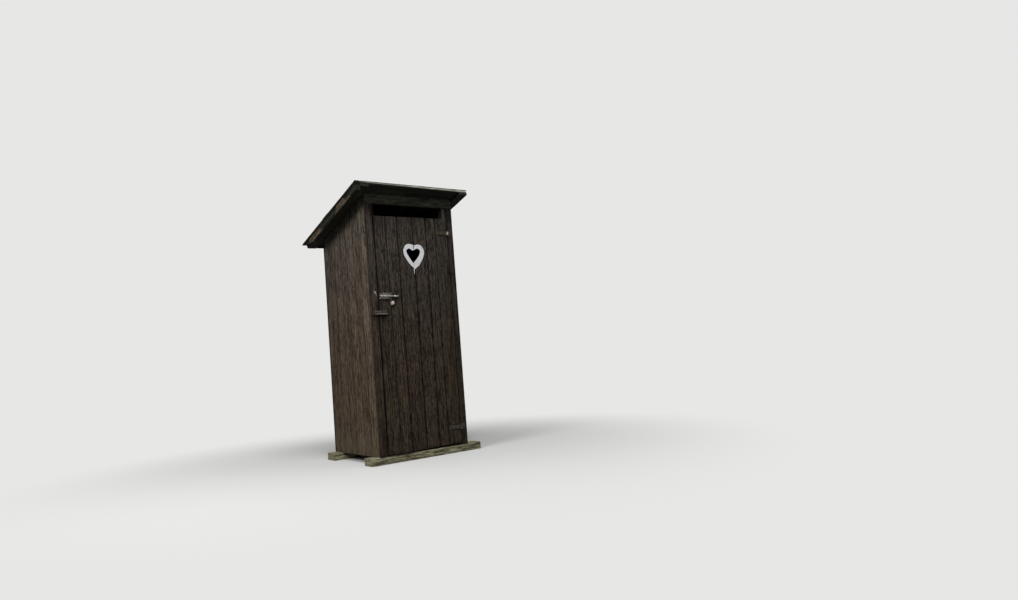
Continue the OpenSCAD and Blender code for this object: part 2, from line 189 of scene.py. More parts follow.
class Nodes:
    """Adds nodes to a tree and links them, so that a recipe reads from top to bottom."""

    def __init__(self, tree):
        self.tree = tree

    def put(self, socket, value):
        if isinstance(value, bpy.types.NodeSocket):
            self.tree.links.new(value, socket)
        else:
            socket.default_value = value

    def add(self, kind, inputs=(), **choices):
        node = self.tree.nodes.new(kind)
        for key, value in choices.items():
            setattr(node, key, value)
        for key, value in dict(inputs).items():
            self.put(node.inputs[key], value)
        return node

    def math(self, operation, *values):
        return self.add("ShaderNodeMath", enumerate(values), operation=operation).outputs[0]

    def plus(self, *values):
        return functools.reduce(functools.partial(self.math, "ADD"), values)

    def minus(self, a, b):
        return self.math("SUBTRACT", a, b)

    def times(self, *values):
        return functools.reduce(functools.partial(self.math, "MULTIPLY"), values)

    def vector(self, operation, *values):
        node = self.add("ShaderNodeVectorMath", enumerate(values), operation=operation)
        return node.outputs["Value" if operation in ("LENGTH", "DOT_PRODUCT") else "Vector"]

    def combine(self, x=0.0, y=0.0, z=0.0):
        return self.add("ShaderNodeCombineXYZ", {"X": x, "Y": y, "Z": z}).outputs[0]

    def separate(self, value):
        return self.add("ShaderNodeSeparateXYZ", {"Vector": value}).outputs

    def noise(self, vector, scale=1.0, detail=2.0, roughness=0.5):
        """Noise, with one scale for all directions or one for each."""
        if isinstance(scale, tuple):
            vector, scale = self.vector("MULTIPLY", vector, scale), 1.0
        inputs = {"Vector": vector, "Scale": scale, "Detail": detail, "Roughness": roughness}
        return self.add("ShaderNodeTexNoise", inputs).outputs[0]

    def cells(self, vector, scale, dimensions="3D"):
        return self.add("ShaderNodeTexVoronoi", {"Vector": vector, "Scale": scale},
                        voronoi_dimensions=dimensions).outputs

    def ramp(self, value, low, high, to_low=0.0, to_high=1.0):
        """Smooth step from low to high."""
        inputs = {"Value": value, "From Min": low, "From Max": high, "To Min": to_low, "To Max": to_high}
        return self.add("ShaderNodeMapRange", inputs, interpolation_type="SMOOTHSTEP").outputs[0]

    def mix(self, factor, a, b, blend="MIX"):
        """Colour b over colour a."""
        node = self.add("ShaderNodeMix", {"Factor": factor}, data_type="RGBA", blend_type=blend)
        for socket, value in ((node.inputs[6], a), (node.inputs[7], b)):
            self.put(socket, value if isinstance(value, bpy.types.NodeSocket) else (*value[:3], 1))
        return node.outputs[2]

    def tinted(self, colour, factors):
        return self.mix(1.0, colour, factors, "MULTIPLY")

    def place(self):
        return self.add("ShaderNodeTexCoord").outputs["Object"]

    def attribute(self, name, output="Fac"):
        return self.add("ShaderNodeAttribute", attribute_name=name).outputs[output]

    def above_roof(self, place):
        """Height over the roof boards' plane, square to it."""
        return self.vector("DOT_PRODUCT", self.vector("SUBTRACT", place, tuple(ROOF_FRONT)), tuple(ROOF_UP))

    def surface(self, colour, roughness, height, depth, strength, specular=0.5, metallic=0.0):
        """What the shader of a finish gets, with height as relief of the given depth."""
        relief = self.add("ShaderNodeBump", {"Height": height, "Distance": depth, "Strength": strength})
        return {"Base Color": colour, "Roughness": roughness, "Normal": relief.outputs[0],
                "Specular IOR Level": specular, "Metallic": metallic}


def new_geometry_tree(name, **inputs):
    """A tree with a geometry in and out and the given named inputs, and its node adder and inputs."""
    tree = bpy.data.node_groups.new(name, "GeometryNodeTree")
    tree.interface.new_socket("Geometry", in_out="INPUT", socket_type="NodeSocketGeometry")
    for label, kind in inputs.items():
        tree.interface.new_socket(label, in_out="INPUT", socket_type="NodeSocket" + kind)
    tree.interface.new_socket("Geometry", in_out="OUTPUT", socket_type="NodeSocketGeometry")
    n = Nodes(tree)
    return tree, n, n.add("NodeGroupInput").outputs


def end_tree(n, geometry, material):
    """Ends a tree in plain geometry with its finish."""
    real = n.add("GeometryNodeRealizeInstances", {"Geometry": geometry}).outputs[0]
    done = n.add("GeometryNodeSetMaterial", {"Geometry": real, "Material": material}).outputs[0]
    n.add("NodeGroupOutput", {"Geometry": done})


def named(n, name, kind="FLOAT"):
    return n.add("GeometryNodeInputNamedAttribute", {"Name": name}, data_type=kind).outputs[0]


PLANK_VECTORS = ("start", "along_dir", "across", "outward")
PLANK_FLOATS = ("width", "thick", "foot_skew", "top_skew", "tone", "plank")
PLANK_SPENT = {*PLANK_VECTORS, *PLANK_FLOATS, "along", "part_way", "at_end", "corner", "turn"} - {"tone"}


def plank_tree():
    """Lofts a board along each edge of a mesh, from the edge's own width, thickness, cuts and tone."""
    if "Planks" in bpy.data.node_groups:
        return bpy.data.node_groups["Planks"]
    tree, n, inp = new_geometry_tree("Planks", Profile="Object", Spacing="Float", Radius="Float", Bow="Float",
                                     Sway="Float", Relief="Float", Seed="Float", Finish="Material")
    usual = inp["Radius"]

    def store(geometry, name, value, kind="FLOAT"):
        return n.add("GeometryNodeStoreNamedAttribute", {"Geometry": geometry, "Name": name, "Value": value},
                     data_type=kind, domain="POINT").outputs[0]

    def is_at(index, wanted):
        return n.math("COMPARE", index, wanted, 0.5)

    curve = n.add("GeometryNodeMeshToCurve", {"Mesh": inp["Geometry"]}).outputs[0]
    curve = n.add("GeometryNodeResampleCurve", {"Curve": curve, "Length": inp["Spacing"]},
                  mode="LENGTH").outputs[0]
    spline = n.add("GeometryNodeSplineParameter").outputs
    whole = n.add("GeometryNodeSplineLength").outputs
    index, last = spline["Index"], n.minus(whole["Point Count"], 1.0)
    # the second ring and the last but one move close to the ends, where the edges are rounded
    pull = n.minus(n.math("DIVIDE", whole["Length"], last), n.times(usual, 0.7))
    moved = n.minus(is_at(index, n.minus(last, 1.0)), is_at(index, 1.0))
    curve = store(curve, "along", n.plus(spline["Length"], n.times(pull, moved)))
    curve = store(curve, "part_way", spline["Factor"])
    curve = store(curve, "at_end", n.plus(is_at(index, 0.0), is_at(index, last)))
    profile = n.add("GeometryNodeObjectInfo", {"Object": inp["Profile"]}).outputs["Geometry"]
    profile = n.add("GeometryNodeMeshToCurve", {"Mesh": profile}).outputs[0]
    inputs = {"Curve": curve, "Profile Curve": profile, "Fill Caps": True}
    mesh = n.add("GeometryNodeCurveToMesh", inputs).outputs[0]

    along, part_way = named(n, "along"), named(n, "part_way")
    corner, turn = (n.separate(named(n, name, "FLOAT_VECTOR")) for name in ("corner", "turn"))
    seeded = n.plus(n.times(named(n, "plank"), 7.31), inp["Seed"])

    def wander(offset, pace, amount):
        """A slow noise along the board, between minus and plus amount."""
        value = n.noise(n.combine(n.plus(seeded, offset), n.times(along, pace)), detail=1.0)
        return n.times(n.minus(value, 0.5), 2.0, amount)

    chip = n.noise(n.combine(n.plus(seeded, n.times(corner[0], 3.7)), n.times(along, 16.0),
                             n.times(corner[1], 2.9)))
    wear = n.minus(n.times(usual, n.ramp(chip, 0.3, 0.75, 0.75, 1.9)), usual)
    on_corner = n.math("ABSOLUTE", n.times(turn[0], turn[1]))
    inset = n.minus(1.0, n.times(named(n, "at_end"), 0.03))
    offsets = []
    for size, side, turned_by in (("width", corner[0], turn[0]), ("thick", corner[1], turn[1])):
        half = n.minus(n.times(named(n, size), 0.5), usual)
        edge = n.plus(n.times(side, half), n.times(turned_by, usual))
        offsets.append(n.times(n.minus(edge, n.times(n.math("SIGN", turned_by), wear, on_corner)), inset))
    a, o = offsets
    grain = n.combine(a, o, along)
    worn = n.noise(n.vector("ADD", n.vector("MULTIPLY", grain, (120.0, 60.0, 5.0)), n.combine(seeded)))
    relief = n.times(n.minus(worn, 0.6), corner[1], inp["Relief"])
    waver = n.times(corner[0], wander(31.0, 9.0, n.times(inp["Sway"], 0.6)))
    a_moved = n.plus(a, wander(11.0, 1.3, inp["Sway"]), waver)
    o_moved = n.plus(o, wander(53.0, 1.1, inp["Bow"]), relief)
    skew = n.plus(n.times(named(n, "foot_skew"), n.minus(1.0, part_way)),
                  n.times(named(n, "top_skew"), part_way))
    place = named(n, "start", "FLOAT_VECTOR")
    moves = {"along_dir": n.plus(along, n.times(a, skew)), "across": a_moved, "outward": o_moved}
    for direction, reach in moves.items():
        inputs = {0: named(n, direction, "FLOAT_VECTOR"), "Scale": reach}
        step = n.add("ShaderNodeVectorMath", inputs, operation="SCALE")
        place = n.vector("ADD", place, step.outputs[0])
    mesh = store(mesh, "grain", grain, "FLOAT_VECTOR")
    mesh = store(mesh, "face", n.math("DIVIDE", o, n.times(named(n, "thick"), 0.5)))
    mesh = n.add("GeometryNodeSetPosition", {"Geometry": mesh, "Position": place}).outputs[0]
    end_tree(n, mesh, inp["Finish"])
    return tree


def profile_object(lanes):
    """A board's closed cross-section: each point says which edge it belongs to and how it turns round it."""
    name = f"profile_{lanes}"
    if name in bpy.data.objects:
        return bpy.data.objects[name]
    quarter = [(1, 0), (0.924, 0.383), (0.707, 0.707), (0.383, 0.924), (0, 1)]
    corners, turns, rims = [], [], []

    def point(corner, turn, rim):
        corners.append((*corner, 0))
        turns.append((*turn, 0))
        rims.append(rim)

    for sx, sy in ((1, 1), (-1, 1), (-1, -1), (1, -1)):
        starts_flat = sx == sy
        if not starts_flat:
            point((sx, sy), (-1.2 * sx, sy), 0.3)
        for dx, dy in quarter if starts_flat else quarter[::-1]:
            point((sx, sy), (sx * dx, sy * dy), 1.0)
        if starts_flat:
            point((sx, sy), (-1.2 * sx, sy), 0.3)
            for k in range(1, lanes + 1):
                point((sx * (1 - 2 * k / (lanes + 1)), sy), (0, sy), 0.0)
    count = len(rims)
    mesh = bpy.data.meshes.new(name)
    mesh.from_pydata([(c[0] + 0.1 * t[0], c[1] + 0.1 * t[1], 0) for c, t in zip(corners, turns)],
                     [(i, (i + 1) % count) for i in range(count)], [])
    write_layers(mesh, {"corner": corners, "turn": turns, "rim": rims})
    return bpy.data.objects.new(name, mesh)


def plank(start, end, across, outward, width, thick, tone=0.5, foot_skew=0.0, top_skew=0.0):
    """One board from start to end, both at the middle of its section, in metres."""
    start, end = np.array(start, float), np.array(end, float)
    return {"start": start, "end": end, "along_dir": (end - start) / np.linalg.norm(end - start),
            "across": np.array(across, float), "outward": np.array(outward, float), "width": width,
            "thick": thick, "tone": tone, "foot_skew": foot_skew, "top_skew": top_skew}


# Meshes and objects


def apply_modifiers(obj):
    """Makes the evaluated object's mesh its plain mesh, with its modifiers gone."""
    graph = bpy.context.evaluated_depsgraph_get()
    mesh = bpy.data.meshes.new_from_object(obj.evaluated_get(graph), preserve_all_data_layers=True,
                                           depsgraph=graph)
    obj.modifiers.clear()
    obj.data = mesh
    mesh.name = obj.name


def new_object(name, mesh):
    obj = bpy.data.objects.new(name, mesh)
    bpy.context.scene.collection.objects.link(obj)
    return obj


def grown(name, mesh, tree, values, spent):
    """A plain object that a geometry tree makes from a mesh, without the layers that only the tree needs."""
    obj = new_object(name, mesh)
    modifier = obj.modifiers.new(tree.name, "NODES")
    modifier.node_group = tree
    for item in tree.interface.items_tree:
        if item.in_out == "INPUT" and item.name in values:
            modifier[item.identifier] = values[item.name]
    apply_modifiers(obj)
    for layer in [a.name for a in obj.data.attributes if a.name in spent]:
        obj.data.attributes.remove(obj.data.attributes[layer])
    return obj


def shade(mesh, angle=35):
    """Smooth faces, with edges that turn by more than the angle left sharp."""
    mesh.polygons.foreach_set("use_smooth", [True] * len(mesh.polygons))
    mesh.set_sharp_from_angle(angle=math.radians(angle))


def finish_piece(obj, material, angle=35):
    obj.data.materials.clear()
    obj.data.materials.append(material)
    shade(obj.data, angle)


@contextlib.contextmanager
def edited(mesh):
    """Opens a mesh for changes, and turns its faces outward at the end."""
    bm = bmesh.new()
    bm.from_mesh(mesh)
    yield bm
    bmesh.ops.recalc_face_normals(bm, faces=bm.faces)
    bm.to_mesh(mesh)
    bm.free()


def face_outward(mesh):
    with edited(mesh):
        pass


def coordinates(mesh):
    co = np.empty(len(mesh.vertices) * 3, np.float32)
    mesh.vertices.foreach_get("co", co)
    return co.reshape(-1, 3).astype(float)


def move_vertices(mesh, co):
    mesh.vertices.foreach_set("co", np.asarray(co, np.float32).ravel())
    mesh.update()


def write_layers(mesh, layers):
    """Writes layers by their names, each with a number or a vector for every vertex."""
    for name, values in layers.items():
        values = np.asarray(values, np.float32)
        kind, field = ("FLOAT_VECTOR", "vector") if values.ndim == 2 else ("FLOAT", "value")
        if name in mesh.attributes:
            mesh.attributes.remove(mesh.attributes[name])
        mesh.attributes.new(name, kind, "POINT").data.foreach_set(field, values.ravel())


def lay_grain(mesh, start, along, across, outward, tone):
    """Gives a piece that isn't lofted its own grain: across, outward and along its length."""
    rel = coordinates(mesh) - start
    write_layers(mesh, {"grain": np.stack([rel @ across, rel @ outward, rel @ along], 1),
                        "tone": np.full(len(rel), tone), "rim": np.zeros(len(rel)),
                        "face": np.ones(len(rel))})


def planks_piece(name, planks, material, lanes=3, round_mm=None, bend=1.0, spacing=None):
    """Makes one piece from boards, as a plain mesh."""
    boards = settings("boards")
    mesh = bpy.data.meshes.new(name + "_axes")
    mesh.from_pydata([p[k] for p in planks for k in ("start", "end")],
                     [(2 * i, 2 * i + 1) for i in range(len(planks))], [])
    for i, p in enumerate(planks):
        p["plank"] = float(i + 1)
    keys = (*PLANK_VECTORS, *PLANK_FLOATS)
    write_layers(mesh, {key: [p[key] for p in planks for _ in ("start", "end")] for key in keys})
    obj = grown(name, mesh, plank_tree(), {
        "Profile": profile_object(lanes), "Spacing": spacing or boards.ring_spacing,
        "Radius": boards.round if round_mm is None else round_mm * MM, "Bow": boards.bow * bend,
        "Sway": boards.sway * bend, "Relief": boards.relief,
        "Seed": float(boards.seed + sum(ord(c) for c in name) % 97), "Finish": material}, PLANK_SPENT)
    face_outward(obj.data)
    shade(obj.data)
    return obj


def press_under_roof(obj, gap_mm=0.3):
    """Keeps a piece's top under the roof boards."""
    co = coordinates(obj.data)
    tops = np.array([deck_under(y) for y in (co[:, 1] + HUT_ORIGIN[1]) / MM])
    co[:, 2] = np.minimum(co[:, 2], (tops - gap_mm) * MM)
    move_vertices(obj.data, co)


def settle(obj, body, slot, *nodes):
    """Lets a finished piece ride on its body and hides the nodes that it stands for. Its slot is not used."""
    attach(obj, body)
    if nodes:
        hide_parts(*nodes)
    return obj


# Finishes


def recipe(mix):
    """Makes a finish by its name when it is first asked for. The recipe gives the shader's inputs."""

    @functools.wraps(mix)
    def finish(name, *values, **more):
        if name not in bpy.data.materials:
            material = bpy.data.materials.new(name)
            material.use_nodes = True
            material.node_tree.nodes.clear()
            n = Nodes(material.node_tree)
            shader = n.add("ShaderNodeBsdfPrincipled", mix(n, *values, **more))
            n.add("ShaderNodeOutputMaterial", {"Surface": shader.outputs[0]})
        return bpy.data.materials[name]

    return finish


def dimmed(colour, factor):
    return [factor * c for c in colour]


def blot(n, place, centre, size):
    """A soft spot round a point in hut coordinates, size giving its half widths in mm."""
    x, _, z = n.separate(place)
    middle = at(centre[0], 0, FOOT + centre[1])
    dx = n.times(n.minus(x, float(middle[0])), 1 / (size[0] * MM))
    dz = n.times(n.minus(z, float(middle[2])), 1 / (size[1] * MM))
    return n.ramp(n.plus(n.times(dx, dx), n.times(dz, dz)), 1.25, 0.5)


@recipe
def wood(n, dark, light, lines=1.0, blotches=1.0, specks=0.0, narrow=1.0, long=1.0, broad=1.0, rings=0.35,
         cracks=0.6, knots=0.3, spots=0.0, greying=0.0, splash=0.0, relief=0.0008, rims=0.35, joints=0.0,
         inside=None, edge=None, edge_colour=(0.30, 0.285, 0.24), edge_drop=0.0, edge_before=None,
         posts_shaded_and_aired=False, tints_and_eaves_light=None, marks_and_shadows=()):
    """Boards seen through worn stain: streaks, growth rings, cracks and knots that run along each board.

    specks are short dashes of the grain, narrow and long draw the streaks finer and out, and broad is the
    share of the widest ones. rims darkens the boards' rounded edges, partly as wear and partly as painted
    shade, joints paints shade on the sides between them and under the barge board, and inside is the pair
    of colours of the unstained back. edge says where across the board an edge band in edge_colour begins
    and is full, and from where to where outward, in metres: pale and worn on the turn bar, pale on the
    front roof board as wear and painted light, and dark under the barge board as painted shade. edge_drop
    lets it sink along the roof, and edge_before keeps it to what lies in front of that depth. aired paints
    shade on the posts' front faces, which sit in the dark behind the front boards, and greys the face of
    the post that the vent slot leaves open. tints are factors for the colour at the wall's foot, at its head
    and under the roof, where they lift the colour as painted light in the eaves' shade. marks are single
    spots, among them knots, scratches and painted shadows under the fittings, each with its middle and half
    widths in mm, its share and its brightness.
    """
    own = n.attribute("grain", "Vector")
    tone, rim, front = (n.attribute(name) for name in ("tone", "rim", "face"))
    across, outward, along = n.separate(own)
    grain = n.vector("ADD", own, n.combine(n.times(tone, 13.1), n.times(tone, 7.7), n.times(tone, 31.3)))
    place = n.place()

    fine = n.noise(grain, (900, 900, 14))
    fibre = n.noise(grain, (260, 260, 6.5), 4.0, 0.6)
    streak = n.noise(grain, (75 * narrow, 75 * narrow, 2.6 / long), 3.0, 0.6)
    dab = n.noise(grain, (44 * narrow, 44 * narrow, 12.5), 4.0, 0.68)
    thread = n.noise(grain, (135, 135, 10 / long), 3.0, 0.65)
    patch = n.noise(grain, (11, 11, 2.4), 3.0)

    # knots: a few cells of each board hold one
    cell = n.cells(n.combine(n.times(n.plus(across, n.times(tone, 13.1)), 8.3),
                             n.times(n.plus(along, n.times(tone, 31.3)), 3.7)), 1.0, "2D")
    picked = n.math("GREATER_THAN", n.separate(cell["Color"])[0], 1 - knots)
    knot_core = n.times(picked, n.ramp(cell["Distance"], 0.085, 0.055))
    knot_pull = n.times(picked, n.ramp(cell["Distance"], 0.34, 0.0))

    # growth rings round a pith that lies off the board's face
    off_centre = n.plus(across, n.times(n.minus(tone, 0.5), 0.09))
    drift = n.noise(n.combine(n.times(tone, 50.0), n.times(along, 0.8)), detail=1.0)
    depth = n.plus(0.012, outward, n.times(drift, 0.055))
    ring_r = n.math("SQRT", n.plus(n.times(off_centre, off_centre), n.times(depth, depth)))
    ring_r = n.plus(ring_r, n.times(knot_pull, 0.012), n.times(fibre, 0.0022), n.times(patch, 0.012))
    ring = n.math("POWER", n.math("FRACT", n.times(ring_r, 160.0)), 2.2)

    # cracks: thin lines that follow the grain in some places
    line = n.math("ABSOLUTE", n.minus(n.noise(grain, (95, 95, 1.6), 1.5), 0.5))
    crack = n.times(n.ramp(line, 0.012, 0.003), n.ramp(patch, 0.5, 0.58), cracks)

    # stain, worn off along the grain
    parts = [(streak, 1.25 * lines * broad), (dab, 1.7 * blotches), (thread, 1.5 * lines),
             (fibre, 1.5 * lines), (fine, 0.4), (patch, 0.7 * broad)]
    if specks:
        parts.append((n.noise(grain, (85 * narrow, 85 * narrow, 28), 3.0, 0.7), specks))
    worn = n.ramp(n.plus(*(n.times(n.minus(value, 0.5), share) for value, share in parts), 0.44), 0.0, 1.0)
    colour = n.mix(worn, dark, light)
    colour = n.mix(n.times(ring, rings), colour, dimmed(dark, 0.35))
    if spots:
        dark_spot = n.ramp(n.noise(grain, (34, 34, 15), 3.0, 0.6), 0.60, 0.70)
        colour = n.mix(n.times(dark_spot, spots), colour, dimmed(dark, 0.7))
    if greying:
        colour = n.mix(n.times(n.ramp(streak, 0.42, 0.68), greying), colour, [0.9 * sum(light) / 3] * 3)
    # painted shade, partly wear: the boards' rounded edges darken
    colour = n.mix(n.times(rim, rims), colour, dimmed(dark, 0.5))
    colour = n.mix(n.times(knot_core, 0.8), colour, [0.45 * dark[0], 0.36 * dark[1], 0.3 * dark[2]])
    colour = n.mix(crack, colour, dimmed(dark, 0.22))

    # each board's own tone, a slow drift of hue, the factors for a wall's foot and head, and painted light
    # under the eaves
    bright = n.ramp(tone, 0.0, 1.0, 0.72, 1.28)
    colour = n.tinted(colour, n.combine(bright, bright, bright))
    drifted = n.ramp(n.noise(place, (2.6, 2.6, 1.5)), 0.40, 0.60)
    colour = n.tinted(colour, n.mix(drifted, (1.02, 0.995, 1.015), (0.98, 1.005, 0.965)))
    if tints_and_eaves_light:
        up_wall = n.mix(n.ramp(n.separate(place)[2], 0.5, 2.0), *tints_and_eaves_light[:2])
        # painted light: under the roof the colour is lifted against the eaves' shade, and its hue turns
        # cooler
        colour = n.tinted(colour, n.mix(n.ramp(n.above_roof(place), -0.34, -0.03), up_wall, tints_and_eaves_light[2]))
    if splash:
        low = n.plus(n.separate(place)[2], n.times(n.noise(place, (14, 14, 5), 4.0), -0.32))
        colour = n.mix(n.times(n.ramp(low, 0.20, -0.06), splash), colour, (0.105, 0.090, 0.055))

    # the unstained back, painted shade in the joints and on the posts' front faces, the greyed open post
    # face, and edge bands
    if inside:
        colour = n.mix(n.ramp(front, -0.80, -0.92), colour, n.mix(worn, *inside))
    # painted shade on the boards' sides in the joints, and on the barge board's underside
    if joints:
        deep = n.ramp(n.math("ABSOLUTE", front), 0.98, 0.80)
        colour = n.mix(n.times(deep, joints), colour, dimmed(dark, 0.25))
    if posts_shaded_and_aired:
        x, y, z = n.separate(place)
        at_front = n.ramp(y, POST_FACE + 0.004, POST_FACE + 0.002)
        open_air = n.times(at_front, n.ramp(z, SLOT_FOOT - 0.01, SLOT_FOOT), n.math("GREATER_THAN", x, 0.0))
        # painted shade on the posts' front faces, which sit in the dark behind the front boards
        colour = n.mix(n.times(at_front, 0.9), colour, dimmed(dark, 0.25))
        greyed = n.mix(n.ramp(streak, 0.3, 0.7), (0.05, 0.05, 0.045), (0.12, 0.12, 0.108))
        colour = n.mix(n.times(open_air, 0.85), colour, greyed)
    # the edge band: pale and worn on the turn bar, pale as wear and painted light on the front roof board's
    # edge, and dark as painted shade under the barge board
    if edge:
        outer = n.plus(outward, n.times(n.separate(place)[0], edge_drop))
        pale = n.times(n.ramp(across, *edge[:2]), n.ramp(outer, *edge[2:]),
                       n.ramp(n.plus(streak, n.times(dab, 0.7)), 0.70, 0.95, 0.35, 1.0))
        if edge_before is not None:
            pale = n.times(pale, n.math("LESS_THAN", n.separate(place)[1], edge_before))
        colour = n.mix(pale, colour, edge_colour)
    # single marks: knots, scratches, a paler patch, and painted shadows under the fittings and beside the
    # door
    for middle, half, share, factor in marks_and_shadows:
        colour = n.mix(n.times(blot(n, place, middle, half), share), colour, dimmed(light, factor))

    height = n.plus(n.times(fibre, 0.55), n.times(fine, 0.2), n.times(dab, 0.4),
                    n.times(ring, 0.22 + 0.5 * rings), n.times(crack, -1.6), n.times(knot_core, 0.3))
    return n.surface(colour, n.ramp(fibre, 0.3, 0.7, 0.95, 0.78), height, relief, 1.0, specular=0.12)


def pair(name, dark=1.0, light=None):
    """The dark and the light colour of a finish, times one factor or one for each."""
    factors = (dark, dark if light is None else light)
    return [tuple(factor * c for c in getattr(settings("colours"), f"{name}_{end}"))
            for factor, end in zip(factors, ("dark", "light"))]


# Factors for the colour at a wall's foot, at its head and under the roof, where painted light lifts the
# eaves' shade
WALL_TINTS_AND_EAVES_LIGHT = ((0.97, 0.90, 0.84), (0.95, 0.97, 1.09), (1.14, 1.32, 1.50))
DOOR_TINTS_AND_EAVES_LIGHT = ((1.07, 1.0, 0.88), (0.95, 1.0, 1.12), (0.98, 1.03, 1.14))
# A knot, a scratch, and painted shadows under the turn bar, the bolt, the padlock and the hinges, with dark
# lines
# over the hinges: middle and half widths in mm, share and brightness
DOOR_MARKS_AND_SHADOWS = (((123, 1884), (7, 13), 0.85, 0.03), ((396, 1178), (3.2, 34), 0.75, 2.4),
              ((100, 1187), (62, 12), 0.9, 0.04), ((140, 1324), (72, 8), 0.6, 0.12),
              ((205, 1284), (24, 11), 0.65, 0.10), ((762, 1903), (72, 6), 0.9, 0.04),
              ((745, 1949), (58, 5), 0.5, 0.15), ((762, 139), (72, 7), 0.85, 0.05),
              ((750, 184), (64, 6), 0.6, 0.12))
# Painted shadow under the turn bar, and painted shade by the jamb's edge beside the door's lower half
JAMB_PAINTED_SHADE = (((30, 1187), (42, 11), 0.85, 0.05), ((68, 560), (5.5, 700), 0.95, 0.03))
# The damp place on the rearmost roof boards
ROOF_MARKS = (((225, 2243), (170, 30), 0.6, 1.5),)
# Where the edge bands lie: on the front roof board pale, partly worn and partly painted light, on the turn
# bar pale and worn, and on the barge board dark, as painted shade
ROOF_EDGE, BAR_EDGE = (-0.0560, -0.0585, -0.0045, -0.0015), (-0.0105, -0.0135, -0.02, -0.01)
BARGE_EDGE = (-0.0350, -0.0385, -1.0, -0.5)


def stained():
    return wood("worn_stain", *pair("stain", 0.93), lines=2.7, specks=4.2, narrow=1.8, broad=0.9, rings=0.3,
                knots=0.16, splash=0.3, spots=0.6, inside=pair("timber", 0.8), joints=0.9, tints_and_eaves_light=WALL_TINTS_AND_EAVES_LIGHT)


# painted shade: the barge board's underside and lower edge are darkened
def barge_stain():
    return wood("worn_barge_stain", *pair("stain", 1.3, 0.56), rings=0.3, cracks=0.8, knots=0.1, specks=4.0,
                joints=0.95, edge=BARGE_EDGE, edge_colour=(0.012, 0.010, 0.007))


def door_stain():
    return wood("door_stain", *pair("door"), lines=2.4, blotches=0.0, specks=4.6, narrow=2.0, long=1.6,
                broad=0.4, rings=0.2, cracks=0.8, knots=0.10, spots=0.2, inside=pair("timber", 0.8),
                joints=1.0, rims=0.95, tints_and_eaves_light=DOOR_TINTS_AND_EAVES_LIGHT, marks_and_shadows=DOOR_MARKS_AND_SHADOWS)


def jamb_stain():
    return wood("jamb_stain", *pair("door", 0.8), lines=2.0, blotches=0.3, specks=2.5, narrow=1.4, long=1.8,
                rings=0.3, cracks=0.7, knots=0.10, spots=0.3, tints_and_eaves_light=DOOR_TINTS_AND_EAVES_LIGHT, marks_and_shadows=JAMB_PAINTED_SHADE)


# painted shade: the boards under the roof's sides and the strips deep in the wall joints are kept dark
def shaded_stain():
    return wood("shaded_stain", *pair("shade", 1.25), rings=0.3, knots=0.1)


# the header board is darkened partly as painted shade under the eaves
def header_stain():
    return wood("header_stain", *pair("shade", 3.8), specks=1.5, rings=0.3, knots=0.1)


def bare_wood():
    return wood("bare_wood", *pair("timber"), lines=0.8, blotches=0.8, rings=0.45, cracks=0.4, relief=0.0005,
                posts_shaded_and_aired=True)


def grey_wood():
    return wood("grey_wood", *pair("grey"), lines=1.2, blotches=1.2, rings=0.4, cracks=1.0, knots=0.15,
                greying=0.25, spots=0.6, relief=0.0012)


# painted shade: the roof boards are kept dark under the eaves; the front board's upper edge is pale, partly
# worn and partly painted light
def roof_wood():
    return wood("roof_wood", *pair("shade", 0.8), rings=0.4, cracks=0.7, knots=0.2, relief=0.001,
                edge=ROOF_EDGE, edge_drop=0.014, edge_colour=(0.33, 0.32, 0.27),
                edge_before=float(ROOF_FRONT[1]) + 0.03, marks_and_shadows=ROOF_MARKS)


def bar_wood():
    return wood("bar_wood", (0.021, 0.017, 0.013), (0.128, 0.108, 0.088), lines=1.2, blotches=1.2, rings=0.4,
                cracks=1.0, knots=0.05, spots=0.5, relief=0.0010, edge=BAR_EDGE)


@recipe
def white_paint(n, paint):
    """White paint laid on with a brush, thin over the highest grain."""
    place = n.place()
    grain = n.noise(place, (300, 300, 12), 3.0)
    brush = n.noise(place, (90, 90, 60), 3.0, 0.65)
    colour = n.mix(n.ramp(brush, 0.40, 0.60), dimmed(paint, 0.80), paint)
    thin = n.times(n.ramp(grain, 0.62, 0.72), n.ramp(brush, 0.50, 0.40), 0.55)
    colour = n.mix(thin, colour, dimmed(paint, 0.25))
    height = n.plus(n.times(grain, 0.6), n.times(brush, 0.5))
    return n.surface(colour, n.ramp(brush, 0.3, 0.7, 0.5, 0.7), height, 0.0006, 0.8, specular=0.3)


@recipe
def felt(n):
    """Bitumen felt with its mineral grit, dust low on the turned-down edges and a few pale lichen spots."""
    place = n.place()
    grit = n.cells(place, 620.0)
    broad = n.noise(place, 5.0, 4.0)
    colour = n.mix(n.separate(grit["Color"])[0], (0.0011, 0.0012, 0.0008), (0.0042, 0.0048, 0.0031))
    runs = n.noise(place, (26, 3.2, 3.2), 3.0)
    colour = n.mix(n.times(n.ramp(runs, 0.48, 0.72), 0.6), colour, (0.0092, 0.0094, 0.0066))
    colour = n.mix(n.times(n.ramp(broad, 0.55, 0.75), 0.5), colour, (0.0060, 0.0084, 0.0038))
    spots = n.ramp(n.noise(place, 38.0), 0.70, 0.74)
    colour = n.mix(n.times(spots, 0.6), colour, (0.040, 0.046, 0.031))
    mottle = n.ramp(n.noise(place, 75.0, 4.0, 0.7), 0.38, 0.60, 0.35, 1.0)
    dusty = n.times(n.ramp(n.above_roof(place), -0.030, -0.055), mottle)
    colour = n.mix(dusty, colour, (0.0230, 0.0250, 0.0205))
    height = n.plus(n.times(grit["Distance"], -1.2), n.times(n.noise(place, 900.0, 3.0), 0.4))
    return n.surface(colour, n.ramp(broad, 0.35, 0.65, 0.78, 0.95), height, 0.0012, 0.9, specular=0.04)


